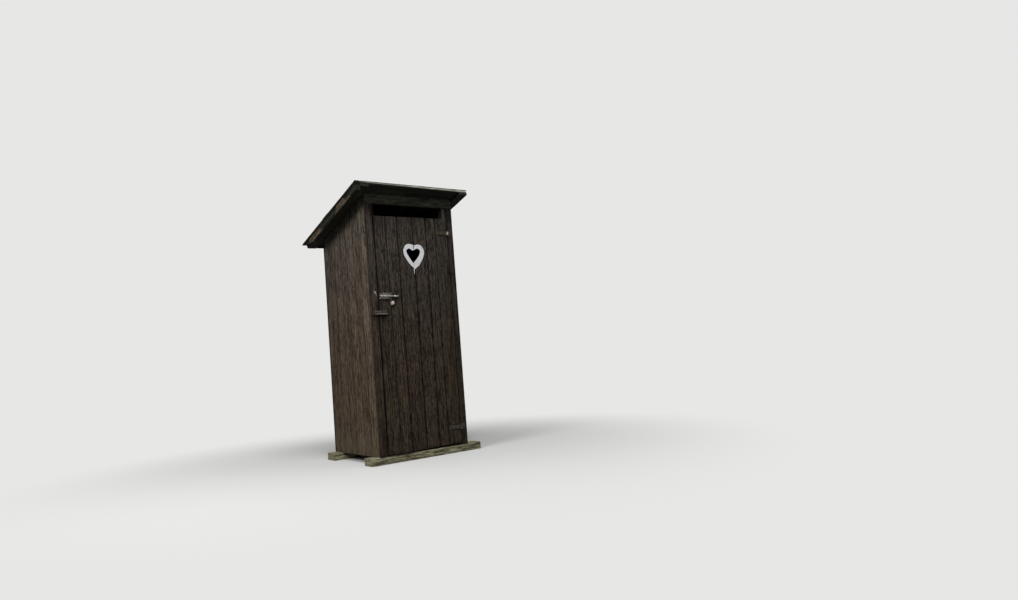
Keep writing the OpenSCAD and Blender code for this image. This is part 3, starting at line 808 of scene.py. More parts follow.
@recipe
def iron(n, low=(0.034, 0.019, 0.012), high=(0.098, 0.054, 0.031), bloom_colour=(0.21, 0.105, 0.047),
         bloom=0.7, pale_places=()):
    """Rusty iron: flaking scale, bloom, dark pits, and pale places (middle, half widths in mm)."""
    place = n.place()
    broad = n.noise(place, 42.0, 4.0, 0.6)
    flake = n.noise(place, 150.0, 5.0, 0.65)
    pits = n.cells(place, 520.0)["Distance"]
    colour = n.mix(n.ramp(broad, 0.38, 0.62), low, high)
    colour = n.mix(n.times(n.ramp(flake, 0.52, 0.68), bloom), colour, bloom_colour)
    colour = n.mix(n.times(n.ramp(flake, 0.40, 0.30), 0.5), colour, dimmed(low, 0.45))
    for middle, half in pale_places:
        bright = n.times(blot(n, place, middle, half), n.ramp(flake, 0.36, 0.48))
        colour = n.mix(bright, colour, (0.33, 0.30, 0.25))
    height = n.plus(n.times(flake, 0.8), n.times(n.ramp(pits, 0.0, 0.35), 0.35))
    return n.surface(colour, n.ramp(flake, 0.3, 0.7, 0.62, 0.92), height, 0.0006, 0.9, specular=0.3,
                     metallic=0.2)


def dark_iron():
    """The hinges: nearly black, with one knuckle paler."""
    return iron("dark_iron", (0.017, 0.012, 0.0075), (0.044, 0.033, 0.0205), (0.125, 0.096, 0.062),
                pale_places=(((812, 1926), (9, 15)),))


def brown_iron():
    """The lower hinge, with pale flecks of old paint and rust."""
    return iron("brown_iron", (0.011, 0.0085, 0.006), (0.038, 0.030, 0.022), (0.23, 0.185, 0.145), 0.85)


def nail_iron():
    return iron("nail_iron", (0.012, 0.0095, 0.007), (0.030, 0.024, 0.017), (0.060, 0.040, 0.024), 0.4)


@recipe
def zinc(n, low=(0.11, 0.11, 0.092), high=(0.42, 0.42, 0.37), rusting=0.0, rust_under=None):
    """Dull zinc-plated steel with pale bloom and rust, all rust-coloured below the height rust_under, in
    metres.
    """
    place = n.place()
    cloud = n.noise(place, 55.0, 4.0, 0.6)
    bloom = n.noise(place, 170.0, 5.0, 0.6)
    rusty = n.times(n.ramp(bloom, 0.57 - rusting, 0.66 - rusting),
                    n.ramp(cloud, 0.56 + rusting, 0.42 + rusting))
    if rust_under is not None:
        foot = n.plus(n.separate(place)[2], n.times(n.minus(cloud, 0.5), 0.02))
        rusty = n.math("MAXIMUM", rusty, n.ramp(foot, rust_under + 0.004, rust_under - 0.004, 0.0, 0.85))
    rust = n.mix(n.ramp(bloom, 0.4, 0.6), (0.045, 0.027, 0.017), (0.13, 0.072, 0.038))
    colour = n.mix(n.times(rusty, 0.9), n.mix(n.ramp(cloud, 0.35, 0.65), low, high), rust)
    height = n.plus(n.times(n.noise(place, (60, 700, 700)), 0.3), n.times(bloom, 0.6))
    return n.surface(colour, n.plus(n.ramp(cloud, 0.3, 0.7, 0.40, 0.60), n.times(rusty, 0.3)), height, 0.0003,
                     0.7, metallic=n.ramp(rusty, 0.0, 1.0, 0.3, 0.05))


def dull_zinc():
    """The bolt's plate, shackle and screws: dark, partly as rust and partly as painted shade; rusty low down.
    """
    return zinc("dull_zinc", (0.026, 0.023, 0.019), (0.088, 0.080, 0.068), 0.05, (FOOT + 1347) * MM)


def worn_zinc():
    """The loose keeper, darker and rust-coloured in its lower half."""
    low, high = box("bolt_keeper")
    return zinc("worn_zinc", (0.17, 0.15, 0.13), (0.33, 0.29, 0.25), 0.0, (low[2] + high[2]) / 2 + 0.002)


@recipe
def brass(n):
    """Pale worn brass with brown tarnish where hands don't rub."""
    place = n.place()
    cloud = n.noise(place, 95.0, 4.0, 0.6)
    colour = n.mix(n.ramp(cloud, 0.36, 0.64), (0.28, 0.24, 0.19), (0.56, 0.51, 0.43))
    colour = n.mix(n.times(n.ramp(cloud, 0.40, 0.30), 0.7), colour, (0.10, 0.066, 0.036))
    height = n.plus(n.times(n.noise(place, (1500, 300, 120)), 0.4), n.times(cloud, 0.5))
    return n.surface(colour, n.ramp(cloud, 0.3, 0.7, 0.46, 0.28), height, 0.00025, 0.6, metallic=0.45)


# Shapes that aren't boards


def mesh_from(name, points, faces):
    mesh = bpy.data.meshes.new(name)
    mesh.from_pydata([tuple(p) for p in np.asarray(points, float).reshape(-1, 3)], [], faces)
    face_outward(mesh)
    return mesh


def ring_faces(rings, count, first=0, closed=True):
    """Quads between rings of count points each."""
    faces = []
    for i in range(rings - 1):
        a, b = first + i * count, first + (i + 1) * count
        for j in range(count if closed else count - 1):
            k = (j + 1) % count
            faces.append((a + j, a + k, b + k, b + j))
    return faces


def loft(name, rings):
    """A closed solid through rings of points, capped at both ends."""
    rings = np.asarray(rings, float)
    count = rings.shape[1]
    caps = [tuple(range(count)), tuple((len(rings) - 1) * count + j for j in range(count))]
    return mesh_from(name, rings, ring_faces(len(rings), count) + caps)


def shell(name, outer, inner):
    """A closed sheet between two grids of points with the same layout."""
    outer, inner = np.asarray(outer), np.asarray(inner)
    rows, count = outer.shape[:2]
    size = rows * count
    faces = ring_faces(rows, count, closed=False) + ring_faces(rows, count, size, closed=False)
    rim = [*range(count), *range(2 * count - 1, size, count)]
    rim += [*range(size - 2, size - count - 1, -1), *range(size - 2 * count, 0, -count)]
    faces += [(a, b, b + size, a + size) for a, b in zip(rim, rim[1:] + rim[:1])]
    return mesh_from(name, np.concatenate([outer.reshape(-1, 3), inner.reshape(-1, 3)]), faces)


def frame_of(axis):
    """An axis of length 1 and two directions square to it and to each other."""
    axis = np.array(axis, float) / np.linalg.norm(axis)
    side = np.cross(axis, Z if abs(axis[2]) < 0.9 else X)
    side /= np.linalg.norm(side)
    return axis, side, np.cross(axis, side)


def circle(centre, side, other, radius_mm, sides):
    return [centre + (side * math.cos(t) + other * math.sin(t)) * radius_mm * MM
            for t in np.linspace(0, 2 * math.pi, sides, endpoint=False)]


def turned(name, centre, axis, profile, sides=32):
    """A turned solid: profile is a list of (distance along the axis, radius), in mm."""
    axis, side, other = frame_of(axis)
    return loft(name, [circle(centre + axis * d * MM, side, other, r, sides) for d, r in profile])


def bent_wire(name, path, radius_mm, sides=12):
    """A round wire along a path of points."""
    rings, normal = [], None
    for i, p in enumerate(path):
        tangent = path[min(i + 1, len(path) - 1)] - path[max(i - 1, 0)]
        tangent /= np.linalg.norm(tangent)
        if normal is None:
            normal = frame_of(tangent)[1]
        normal = normal - tangent * (normal @ tangent)
        normal /= np.linalg.norm(normal)
        rings.append(circle(p, normal, np.cross(tangent, normal), radius_mm, sides))
    return loft(name, rings)


def bevelled(mesh, width_mm, segments=2):
    """Rounds a mesh's sharp edges."""
    with edited(mesh) as bm:
        bmesh.ops.remove_doubles(bm, verts=bm.verts, dist=1e-5)
        bmesh.ops.dissolve_limit(bm, angle_limit=math.radians(2), verts=bm.verts, edges=bm.edges)
        sharp = [e for e in bm.edges if len(e.link_faces) == 2 and e.calc_face_angle() > math.radians(35)]
        bmesh.ops.bevel(bm, geom=sharp, offset=width_mm * MM, segments=segments, profile=0.5, affect="EDGES",
                        clamp_overlap=True)
    return mesh


def softened(node, name, width_mm, segments=2):
    """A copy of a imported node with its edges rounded."""
    return new_object(name, bevelled(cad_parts[node].data.copy(), width_mm, segments))


def plate(name, low, high, round_mm=1.0, segments=2):
    """A flat plate or block between two corners, with rounded edges."""
    corners = [[(low, high)[i >> k & 1][k] for k in range(3)] for i in range(8)]
    faces = [(0, 2, 3, 1), (4, 5, 7, 6), (0, 1, 5, 4), (2, 6, 7, 3), (0, 4, 6, 2), (1, 3, 7, 5)]
    return bevelled(mesh_from(name, corners, faces), round_mm, segments)


def bisect(bm, place, normal, **more):
    """Cuts every face along a plane."""
    everything = [*bm.verts, *bm.edges, *bm.faces]
    return bmesh.ops.bisect_plane(bm, geom=everything, plane_co=place, plane_no=normal, **more)


def merged(name, meshes):
    """One mesh from several closed ones, which it uses up."""
    bm = bmesh.new()
    for mesh in meshes:
        bm.from_mesh(mesh)
        bpy.data.meshes.remove(mesh)
    whole = bpy.data.meshes.new(name)
    bm.to_mesh(whole)
    bm.free()
    return whole


def joined(name, meshes, material):
    """One piece from several closed meshes."""
    obj = new_object(name, merged(name, meshes))
    finish_piece(obj, material)
    return obj


def ripple(x, y=0.0, z=0.0):
    """Smooth noise between about -1 and 1."""
    return noise.noise(Vector((x, y, z)))


# Nails and screws are gathered while the boards are laid, and made together at the end

FIXINGS = {}


class Surface:
    """Finds where nails meet the face of a finished piece."""

    def __init__(self, obj, body):
        self.body = body
        obj.data.calc_loop_triangles()
        self.tree = BVHTree.FromPolygons([v.co for v in obj.data.vertices],
                                         [t.vertices for t in obj.data.loop_triangles])

    def drop(self, point, normal):
        """The place that a ray from over a point meets, or None."""
        place = self.tree.ray_cast(Vector(point) + Vector(normal) * 0.03, -Vector(normal), 0.08)[0]
        return None if place is None else np.array(place)


def drive(kind, body, place, normal, size):
    """Notes one nail or screw at a place."""
    spin = Matrix.Rotation(3 * ripple(*(40 * place)), 3, "Z").to_quaternion()
    facing = Vector(normal).to_track_quat("Z", "Y") @ spin
    FIXINGS.setdefault((kind, body), []).append((tuple(place), tuple(facing.to_euler()), size))


def fix(kind, surface, point, normal, size=1.0):
    """Notes one nail or screw where a surface lies under a point."""
    place = surface.drop(point, normal)
    if place is not None:
        drive(kind, surface.body, place, normal, size)


def fixing_tree():
    """Sets a head on every point, turned and sized by the point's own values."""
    if "Fixings" in bpy.data.node_groups:
        return bpy.data.node_groups["Fixings"]
    tree, n, inp = new_geometry_tree("Fixings", Head="Object", Finish="Material")
    head = n.add("GeometryNodeObjectInfo", {"Object": inp["Head"]}).outputs["Geometry"]
    size = named(n, "size")
    points = n.add("GeometryNodeMeshToPoints", {"Mesh": inp["Geometry"]}).outputs[0]
    heads = n.add("GeometryNodeInstanceOnPoints", {
        "Points": points, "Instance": head, "Rotation": named(n, "turned", "FLOAT_VECTOR"),
        "Scale": n.combine(size, size, size)}).outputs[0]
    end_tree(n, heads, inp["Finish"])
    return tree


def nail_head():
    return turned("nail_head", np.zeros(3), Z, [(-2, 3.0), (0.2, 3.3), (0.7, 3.1), (1.0, 2.2), (1.1, 0.8)],
                  10)


def clout_head():
    return turned("clout_head", np.zeros(3), Z, [(-2, 4.2), (0.4, 4.6), (0.9, 4.3), (1.1, 1.2)], 12)


def screw_head():
    """A raised slotted head: two half discs with the slot's floor between them."""
    slot, r = 0.55, 3.6
    ends = math.asin(slot / r)
    meshes = [turned("slot_floor", np.zeros(3), Z, [(-1.5, r - 0.2), (0.3, r - 0.3)], 16)]
    for side, first in ((-1, math.pi), (1, 0)):
        angles = np.linspace(ends, math.pi - ends, 9) + first
        rings = [[(reach * math.cos(t), max(abs(reach * math.sin(t)), slot) * side, height) for t in angles]
                 for height, reach in ((-1.0, r), (0.5, r), (1.0, r * 0.86), (1.25, r * 0.6))]
        meshes.append(loft("half_head", np.array(rings) * MM))
    return merged("screw_head", meshes)


def fixings_piece(name, kind, body, head, material, slot):
    """Makes every nail or screw of one kind on one body."""
    if (kind, body) not in FIXINGS:
        return
    places, turns, sizes = zip(*FIXINGS[kind, body])
    mesh = bpy.data.meshes.new(name + "_places")
    mesh.from_pydata(places, [], [])
    write_layers(mesh, {"turned": turns, "size": sizes})
    head_object = bpy.data.objects.new(head.name, head)
    obj = grown(name, mesh, fixing_tree(), {"Head": head_object, "Finish": material}, {"turned", "size"})
    shade(obj.data)
    settle(obj, body, slot)


# The hut's boards and timbers

LEFT_WALL_JOINTS = (22, 157, 275, 417, 543, 674, 784, 882)
LEFT_WALL_TONES = (0.76, 0.42, 0.60, 0.34, 0.52, 0.30, 0.44)
RIGHT_WALL_JOINTS = (22, 126, 265, 386, 519, 646, 762, 882)
REAR_JOINTS = (0, 128, 247, 381, 503, 640, 752, 880)
# Heights of the nails into the sills, the middle rails and the rear top rail, and how far under the roof the
# nails of the side walls' tops are
SILL_NAILS, RAIL_NAILS, TOP_NAILS, EAVES_NAILS = FOOT + 36, FOOT + 1086, FOOT + 1940, 34
# The boards beside the door: left and right edge, tone, and how far to the right of the middle the nails are
JAMB_BOARDS = {"left": (0, 68, 0.74, 12), "right": (820, 880, 0.42, -8)}
JAMB_NAILS = (90, 640, 1130, 1720, 2110)
# Over this height the left one's right edge goes back, by 10 mm at the second height
TAPER_FROM, TAPER_TO, TAPER = 1560, 2120, 0.010
# The board over the vent slot: its foot, and its nails' x and height over that
SLOT_TOP, HEADER_NAILS_X, HEADER_NAILS_Z = FOOT + 2163, (32, 60, 822, 850), (24, 60)
FLOOR_BOARD_W = 120
# A sleeper's cracks: height at both ends and depth of those in its sides, and the places of those on top
SIDE_CRACKS = ((2.5, 7.5, 8.0), (-26.0, -12.5, 7.0))
TOP_CRACKS = (-34, 8, 41)


def tone_of(i, seed):
    """A settled but uneven tone for board number i."""
    return 0.5 + 0.32 * ripple(3.7 * i + 0.5, 5.1 * seed + 0.3)


def upright_boards(joints, place, across, outward, top, seed, tones):
    """Upright boards side by side. place gives a board's x and y by its middle, and top a height by its y."""
    gaps = [settings("boards").gap / MM + 1.2 * ripple(2.3 * k + seed, 9.0) for k in range(len(joints))]
    gaps[0] = gaps[-1] = 0
    made = []
    for i, (low, high) in enumerate(zip(joints, joints[1:])):
        low, high = low + gaps[i] / 2, high - gaps[i + 1] / 2
        x, y = place((low + high) / 2)
        made.append(plank(at(x, y, FOOT), at(x, y, top(y)), across, outward, (high - low) * MM, WALL_T * MM,
                          tones[i] if tones else tone_of(i, seed), 0.0, -math.tan(PITCH) * across[1]))
    return made


def tongues(joints, place, across, outward, top):
    """Narrow strips inside a wall's joints, as on matched boards, so that no light comes through."""
    strips = []
    for x, y in map(place, joints[1:-1]):
        strips.append(plank(at(x, y, FOOT + 2), at(x, y, top(y) - 6), across, outward, 0.010, 0.006, 0.3))
    return strips


def nail_boards(surface, joints, point, normal, heights, inset=24):
    """Two nails in each board at each height."""
    for i, (low, high) in enumerate(zip(joints, joints[1:])):
        for h, height in enumerate(heights):
            for side, j in ((-1, low + inset), (1, high - inset)):
                stray = 5 * ripple(i * 2.1 + side, h * 3.3, low * 0.01)
                x, y, z = point(j + stray, height)
                fix("nail", surface, at(x, y, z + 6 * ripple(i, h * 1.7, side)), normal)


def boarded_wall(node, joints, place, across, outward, top, seed, tones=None):
    """Boards a wall and closes its joints. Gives the boards' surface."""
    boards = upright_boards(joints, place, across, outward, top, seed, tones)
    wall = planks_piece(node + "_boards", boards, stained(), lanes=5)
    press_under_roof(wall)
    settle(wall, "hut", "stained_boards", node)
    strips = tongues(joints, place, across, outward, top)
    strips = planks_piece(node + "_tongues", strips, shaded_stain(), lanes=1, spacing=0.12, bend=0.5)
    settle(strips, "hut", "dark_boards")
    return Surface(wall, "hut")


def make_walls():
    for node, x, outward, joints, seed, tones in (
            ("left_wall", WALL_T / 2, -X, LEFT_WALL_JOINTS, 1, LEFT_WALL_TONES),
            ("right_wall", WALL_W - WALL_T / 2, X, RIGHT_WALL_JOINTS, 2, None)):
        surface = boarded_wall(node, joints, lambda y: (x, y), Y, outward, deck_under, seed, tones)
        nail_boards(surface, joints, lambda y, z: (x, y, z), outward, (SILL_NAILS, RAIL_NAILS))
        nail_boards(surface, joints, lambda y, z: (x, y, deck_under(y) - z), outward, (EAVES_NAILS,))
    y, top = WALL_D - WALL_T / 2, deck_under(WALL_D - WALL_T)
    surface = boarded_wall("rear_wall", REAR_JOINTS, lambda x: (x, y), X, Y, lambda _: top, 5)
    nail_boards(surface, REAR_JOINTS, lambda x, z: (x, y, z), Y, (SILL_NAILS, RAIL_NAILS, TOP_NAILS))


def rounded_outline(width, height, corner, lane):
    """Points round a rounded rectangle in mm, closely spaced on every side."""
    middles = [np.array([cx * (width / 2 - corner), cy * (height / 2 - corner)])
               for cx, cy in ((1, 1), (-1, 1), (-1, -1), (1, -1), (1, 1))]
    points = []
    for k, (middle, following) in enumerate(zip(middles, middles[1:])):
        turns = np.radians(np.linspace(90 * k, 90 * k + 90, 5))
        bend = [corner * np.array([math.cos(t), math.sin(t)]) for t in turns]
        points += [middle + step for step in bend]
        start, end = points[-1], following + bend[-1]
        count = int(np.linalg.norm(end - start) / lane)
        points += [start + (end - start) * q / count for q in range(1, count)]
    return np.array(points)


def side_cracks(x, z, part, seed):
    """Depth of the long cracks in a sleeper's side at x and z, part of the way along it."""
    depth = 0.0
    for at_left, at_right, reach in SIDE_CRACKS:
        path = at_left + (at_right - at_left) * part
        path += 2.0 * ripple(x * 0.008 + at_left, seed) + 0.8 * ripple(x * 0.05, at_left)
        opening = min(1.0, max(0.1, 0.55 + ripple(x * 0.006 + 2 * at_left, seed + 3.1)))
        depth += reach * opening * math.exp(-((z - path) / 1.9) ** 2)
    return depth


def top_cracks(x, y, seed):
    """Depth of the cracks in a sleeper's top."""
    depth = 0.0
    for middle in TOP_CRACKS:
        path = middle + 5.0 * ripple(x * 0.005 + middle, seed)
        opening = max(0.0, ripple(x * 0.004 + middle, seed + 7.7) + 0.05)
        depth += 6.0 * opening * math.exp(-((y - path) / 1.7) ** 2)
    return depth


def sleeper_piece(name, node, seed):
    """An old split and worn timber: grooved along its grain, cracked, with ragged ends."""
    low, high = box(node)
    half = (high - low) / MM / 2
    middle = (low + high) / 2
    outline = rounded_outline(2 * half[1], 2 * half[2], 7, 2.4)
    rings = []
    for x in np.linspace(-half[0], half[0], 96):
        ring = []
        for y, z in outline:
            from_middle = abs(y) / half[1] + abs(z) / half[2]
            out = np.array([np.sign(y) * (abs(y) > 0.985 * half[1]), np.sign(z) * (abs(z) > 0.97 * half[2])])
            depth = 0.9 + 0.9 * ripple(x * 0.006, y * 0.20 + seed, z * 0.24)
            depth += 0.5 * ripple(x * 0.02, y * 0.5, z * 0.55 + seed)
            worn = max(0.0, ripple(x * 0.018 + seed, np.sign(y), np.sign(z)))
            depth += 20 * worn * max(0.0, from_middle - 1.75)
            if out[0]:
                depth += side_cracks(x, z, x / half[0] / 2 + 0.5, seed)
            if out[1] > 0:
                depth += top_cracks(x, y, seed)
            worn_y, worn_z = np.array([y, z]) - out * depth
            ragged = max(0.0, abs(x) - half[0] + 26) / 26
            shift = -np.sign(x) * ragged * (2.5 + 3.0 * ripple(y * 0.06 + seed, z * 0.09, np.sign(x)))
            ring.append(middle + np.array([x + shift, worn_y, np.clip(worn_z, -half[2], half[2])]) * MM)
        rings.append(ring)
    obj = new_object(name, loft(name, rings))
    lay_grain(obj.data, middle, X, Y, Z, 0.45 + 0.1 * seed)
    finish_piece(obj, grey_wood(), 50)
    settle(obj, "hut", "grey_timber", node)


def make_sleepers():
    sleeper_piece("front_sleeper_timber", "front_sleeper", 1)
    sleeper_piece("rear_sleeper_timber", "rear_sleeper", 2)


def beam(node, along, across, outward, tone):
    """A board that fills a box-shaped node from end to end."""
    low, high = box(node)
    middle, size = (low + high) / 2, high - low
    ends = [middle * (1 - along) + corner * along for corner in (low, high)]
    return plank(*ends, across, outward, float(size @ np.abs(across)), float(size @ np.abs(outward)), tone)


def inner_timber(node, board, bend=0.4):
    obj = planks_piece(node + "_timber", [board], bare_wood(), lanes=2, round_mm=2.5, spacing=0.06, bend=bend)
    return settle(obj, "hut", "bare_timber", node)


def make_inner_frame():
    slope = -math.tan(PITCH)
    for i, node in enumerate(("front_sill", "rear_sill", "left_sill", "right_sill", "left_mid_rail",
                              "right_mid_rail", "rear_mid_rail", "front_top_rail", "rear_top_rail")):
        along, across = (X, Y) if node.startswith(("front", "rear")) else (Y, X)
        press_under_roof(inner_timber(node, beam(node, along, across, Z, tone_of(i, 7))), 2.0)
    for i, node in enumerate(("front_left_post", "front_right_post", "rear_left_post", "rear_right_post")):
        post = beam(node, Z, Y, X, tone_of(i, 8))
        post["end"] = post["end"] + Z * post["width"] / 2 * slope
        post["top_skew"] = slope
        inner_timber(node, post)
    for i, node in enumerate(("left_rafter", "middle_rafter", "right_rafter")):
        low, high = box(node)
        x = ((low + high)[0] / 2 + HUT_ORIGIN[0]) / MM
        n = -DECK_T - RAFTER_H / 2
        ends = [on_roof(x, ((y - ROOF_FRONT[1]) / MM - n * math.sin(PITCH)) / math.cos(PITCH), n)
                for y in (low[1], high[1])]
        rafter = plank(*ends, ROOF_UP, X, RAFTER_H * MM, RAIL_T * MM, tone_of(i, 9), slope, slope)
        inner_timber(node, rafter, bend=0.3)


def make_floor():
    low, high = box("floor_boards")
    thick = high[2] - low[2]
    z = (low[2] + high[2]) / 2 / MM
    front, rear = WALL_T + POST, WALL_D - WALL_T - POST
    between_posts = (WALL_T + POST, WALL_W - WALL_T - POST)
    whole_rows = [(y, y + FLOOR_BOARD_W, WALL_T, WALL_W - WALL_T) for y in range(front, rear, FLOOR_BOARD_W)]
    planks = []
    for i, (y0, y1, x0, x1) in enumerate([(WALL_T, front, *between_posts), *whole_rows,
                                          (rear, WALL_D - WALL_T, *between_posts)]):
        y = (y0 + y1) / 2
        planks.append(plank(at(x0 + 1, y, z), at(x1 - 1, y, z), Y, Z, (y1 - y0) * MM - settings("boards").gap,
                            thick, tone_of(i, 3)))
    obj = planks_piece("floor_planks", planks, bare_wood(), lanes=4)
    settle(obj, "hut", "bare_timber", "floor_boards")
    surface = Surface(obj, "hut")
    for y0, y1, _, _ in whole_rows:
        for x in (60, WALL_W - 60):
            for y in (y0 + 25, y1 - 25):
                fix("nail", surface, at(x, y, z), Z, 0.9)


def make_front_boards():
    for side, (x0, x1, tone, aside) in JAMB_BOARDS.items():
        node = side + "_jamb_board"
        obj = planks_piece(node + "_plank", [beam(node, Z, X, -Y, tone)], jamb_stain(), lanes=4)
        if side == "left":
            co = coordinates(obj.data)
            up = np.clip((co[:, 2] / MM - FOOT - TAPER_FROM) / (TAPER_TO - TAPER_FROM), 0, 1)
            co[:, 0] -= TAPER * up * up * (co[:, 0] + HUT_ORIGIN[0]) / (x1 * MM)
            move_vertices(obj.data, co)
        settle(obj, "hut", "dark_boards", node)
        surface = Surface(obj, "hut")
        for z in JAMB_NAILS:
            fix("nail", surface, at((x0 + x1) / 2 + aside, 0, FOOT + z), -Y)
    obj = planks_piece("header_plank", [beam("header_board", X, Z, -Y, 0.5)], header_stain(), lanes=4)
    press_under_roof(obj)
    settle(obj, "hut", "dark_boards", "header_board")
    surface = Surface(obj, "hut")
    for x in HEADER_NAILS_X:
        for z in HEADER_NAILS_Z:
            fix("nail", surface, at(x, 0, SLOT_TOP + z), -Y)


# The roof

# Joints of the roof boards, down the slope
ROOF_JOINTS = (0, 119, 243, 364, 490, 609, 732, 857, 977, 1099)
FELT_LEFT, DECK_LEFT, DECK_RIGHT = -154, -108, 968
# The barge board's faces and width, and the middles and tones of the flat boards under the roof's sides
BARGE_LEFT, BARGE_RIGHT, BARGE_H = -150, -108, 84
BARGE_NAILS = (70, 330, 610, 870)
VERGE_BOARDS = {"left": (-66, 0.5), "right": (926, 0.62)}
# How deep the folded felt hangs over the barge board, by the distance down the slope
FOLD_DEPTHS = ((0, 84), (112, 83), (142, 54), (200, 46), (238, 34), (252, 21), (400, 17), (432, 44),
               (456, 75), (736, 77), (795, 33), (850, 28), (940, 23), (1050, 26), (1100, 56))
# Where the middle of the felt's lap is, and how far apart its clouts are along the fold, the lap and the rear
LAP_S, FOLD_CLOUTS, LAP_CLOUTS, REAR_CLOUTS = 640, 88, 74, 108


def make_roof_boards():
    joints = (*ROOF_JOINTS, ROOF_LEN)
    last, n = len(joints) - 2, -DECK_T / 2
    planks = []
    for i, (s0, s1) in enumerate(zip(joints, joints[1:])):
        s = (s0 + s1) / 2
        short = 3 + 3 * ripple(i * 1.9, 4.4)
        gap = 2 if 0 < i < last else 1
        planks.append(plank(on_roof(DECK_LEFT + 0.5, s, n), on_roof(DECK_RIGHT - short, s, n), DOWN_SLOPE,
                            ROOF_UP, (s1 - s0 - gap) * MM, DECK_T * MM, tone_of(i, 6) if i else 0.86))
    obj = planks_piece("roof_boards", planks, roof_wood(), lanes=4, bend=0.5)
    settle(obj, "hut", "roof_boards", "roof_deck")
    n = -DECK_T - WALL_T / 2
    for side, (x, tone) in VERGE_BOARDS.items():
        board = plank(on_roof(x, 1, n), on_roof(x, ROOF_LEN - 1, n), X, ROOF_UP, BARGE_H * MM, WALL_T * MM,
                      tone)
        obj = planks_piece(side + "_verge_plank", [board], shaded_stain(), bend=0.5)
        settle(obj, "hut", "dark_boards", side + "_verge_board")


def make_barge_board():
    x, n = (BARGE_LEFT + BARGE_RIGHT) / 2, -BARGE_H / 2
    board = plank(on_roof(x, 1, n), on_roof(x, ROOF_LEN - 1, n), ROOF_UP, -X, BARGE_H * MM,
                  (BARGE_RIGHT - BARGE_LEFT - 1) * MM, 0.92)
    obj = planks_piece("left_barge_plank", [board], barge_stain(), lanes=6, round_mm=2.5, bend=0.6)
    with edited(obj.data) as bm:
        made = bisect(bm, (0, 0, BARGE_CUT + 0.0005), -Z, clear_outer=True)
        bmesh.ops.holes_fill(bm, edges=[e for e in made["geom_cut"] if isinstance(e, bmesh.types.BMEdge)])
    shade(obj.data)
    settle(obj, "hut", "stained_boards", "left_barge_board")
    surface = Surface(obj, "hut")
    for s in BARGE_NAILS:
        fix("nail", surface, on_roof(BARGE_LEFT, s, -70), -X, 1.1)


def fold_line(s, bulge):
    """How far the folded felt stands off the barge board and how deep it hangs, at s."""
    part = max(0.0, math.sin(math.pi * min(max(s / ROOF_LEN, 0), 1)))
    stand = bulge * (0.25 + 0.75 * part) + 1.6 * ripple(s * 0.009, 2.0) + 0.8 * ripple(s * 0.03, 6.0)
    depth = float(np.interp(s, *zip(*FOLD_DEPTHS)))
    depth += 2.6 * ripple(s * 0.012, 8.0) + 1.6 * ripple(s * 0.05, 1.0)
    return max(stand, 0.4), depth


def felt_section(s, thick, lift, bulge):
    """The outer and inner line of a felt sheet at s, from its right edge to the foot of the fold."""
    stand, depth = fold_line(s, bulge)
    face, r = BARGE_LEFT - 0.4, 6.0
    path = [(DECK_RIGHT + 2 + 1.2 * ripple(s * 0.02, 3.0), 0.0)]
    path += [(x, 0.0) for x in np.linspace(DECK_RIGHT - 6, BARGE_LEFT + 12, 44)]
    path += [(face + r - r * math.sin(t) - stand * 0.5 * (1 - math.cos(t)), -r + r * math.cos(t))
             for t in np.linspace(0.25, math.pi / 2, 5)]
    path += [(face - stand * (0.5 + 0.5 * math.sin(math.pi * min(1.0, 0.35 + 0.75 * q))),
              -r - (depth - r) * q) for q in np.linspace(0.12, 1, 9)]
    wave = np.array([0.9 * ripple(x * 0.008, s * 0.006, lift) + 0.35 * ripple(x * 0.03, s * 0.03, lift + 4)
                     for x, _ in path])
    path = np.array(path, float)
    tangent = np.gradient(path, axis=0)
    tangent /= np.linalg.norm(tangent, axis=1)[:, None]
    normal = np.stack([tangent[:, 1], -tangent[:, 0]], 1)
    settled = np.minimum(1.0, np.arange(len(path))[::-1] / 12 + 0.3)
    base = lift + 0.5 + np.maximum(wave, -0.35) * settled
    return path + normal * (base + thick)[:, None], path + normal * base[:, None]


def felt_sheet(s0, s1, thick, lift):
    """A sheet of felt from s0 to s1 down the slope, folded on the left, lift(s) mm above the boards."""
    layers = [], []
    for s in np.linspace(s0, s1, int((s1 - s0) / 14) + 2):
        for layer, line in zip(layers, felt_section(s, thick, lift(s), settings("roof").bulge / MM)):
            layer.append([on_roof(x, s, n) for x, n in line])
    outer, inner = np.array(layers)
    for layer in (outer, inner):
        layer[..., 2] = np.maximum(layer[..., 2], BARGE_CUT + 0.0002)
    return shell("sheet", outer, inner)


def felt_drip(thick):
    """The felt turned down over the roof's rear edge."""
    outer, inner = [], []
    for q in np.linspace(0, 1, 10):
        outer.append([])
        inner.append([])
        for x in np.linspace(DECK_LEFT - 1, DECK_RIGHT + 1, 46):
            depth = (38 + 2.0 * ripple(x * 0.01, 7.0)) * q
            s = ROOF_LEN + 0.6 + 2.2 * math.sin(math.pi * q) * (0.6 + 0.4 * ripple(x * 0.008, 3.0))
            outer[-1].append(on_roof(x, s + thick * 0.98, thick * (1 - q) + 0.8 - depth))
            inner[-1].append(on_roof(x, s, 0.8 - depth))
    return shell("drip", outer, inner)


def felt_wrap(thick):
    """The felt turned down over the barge board's front end."""
    row = np.linspace(FELT_LEFT + 0.5, DECK_LEFT - 2, 10)
    outer, inner = [], []
    for i, n in enumerate(np.linspace(2.0, -57, 12)):
        swell = [1.2 + 1.4 * math.sin(math.pi * i / 11) + 0.5 * ripple(x * 0.1, n * 0.1) for x in row]
        outer.append([on_roof(x, -w, n) for x, w in zip(row, swell)])
        inner.append([on_roof(x, thick * 0.6 - w, n) for x, w in zip(row, swell)])
    return shell("wrap", outer, inner)


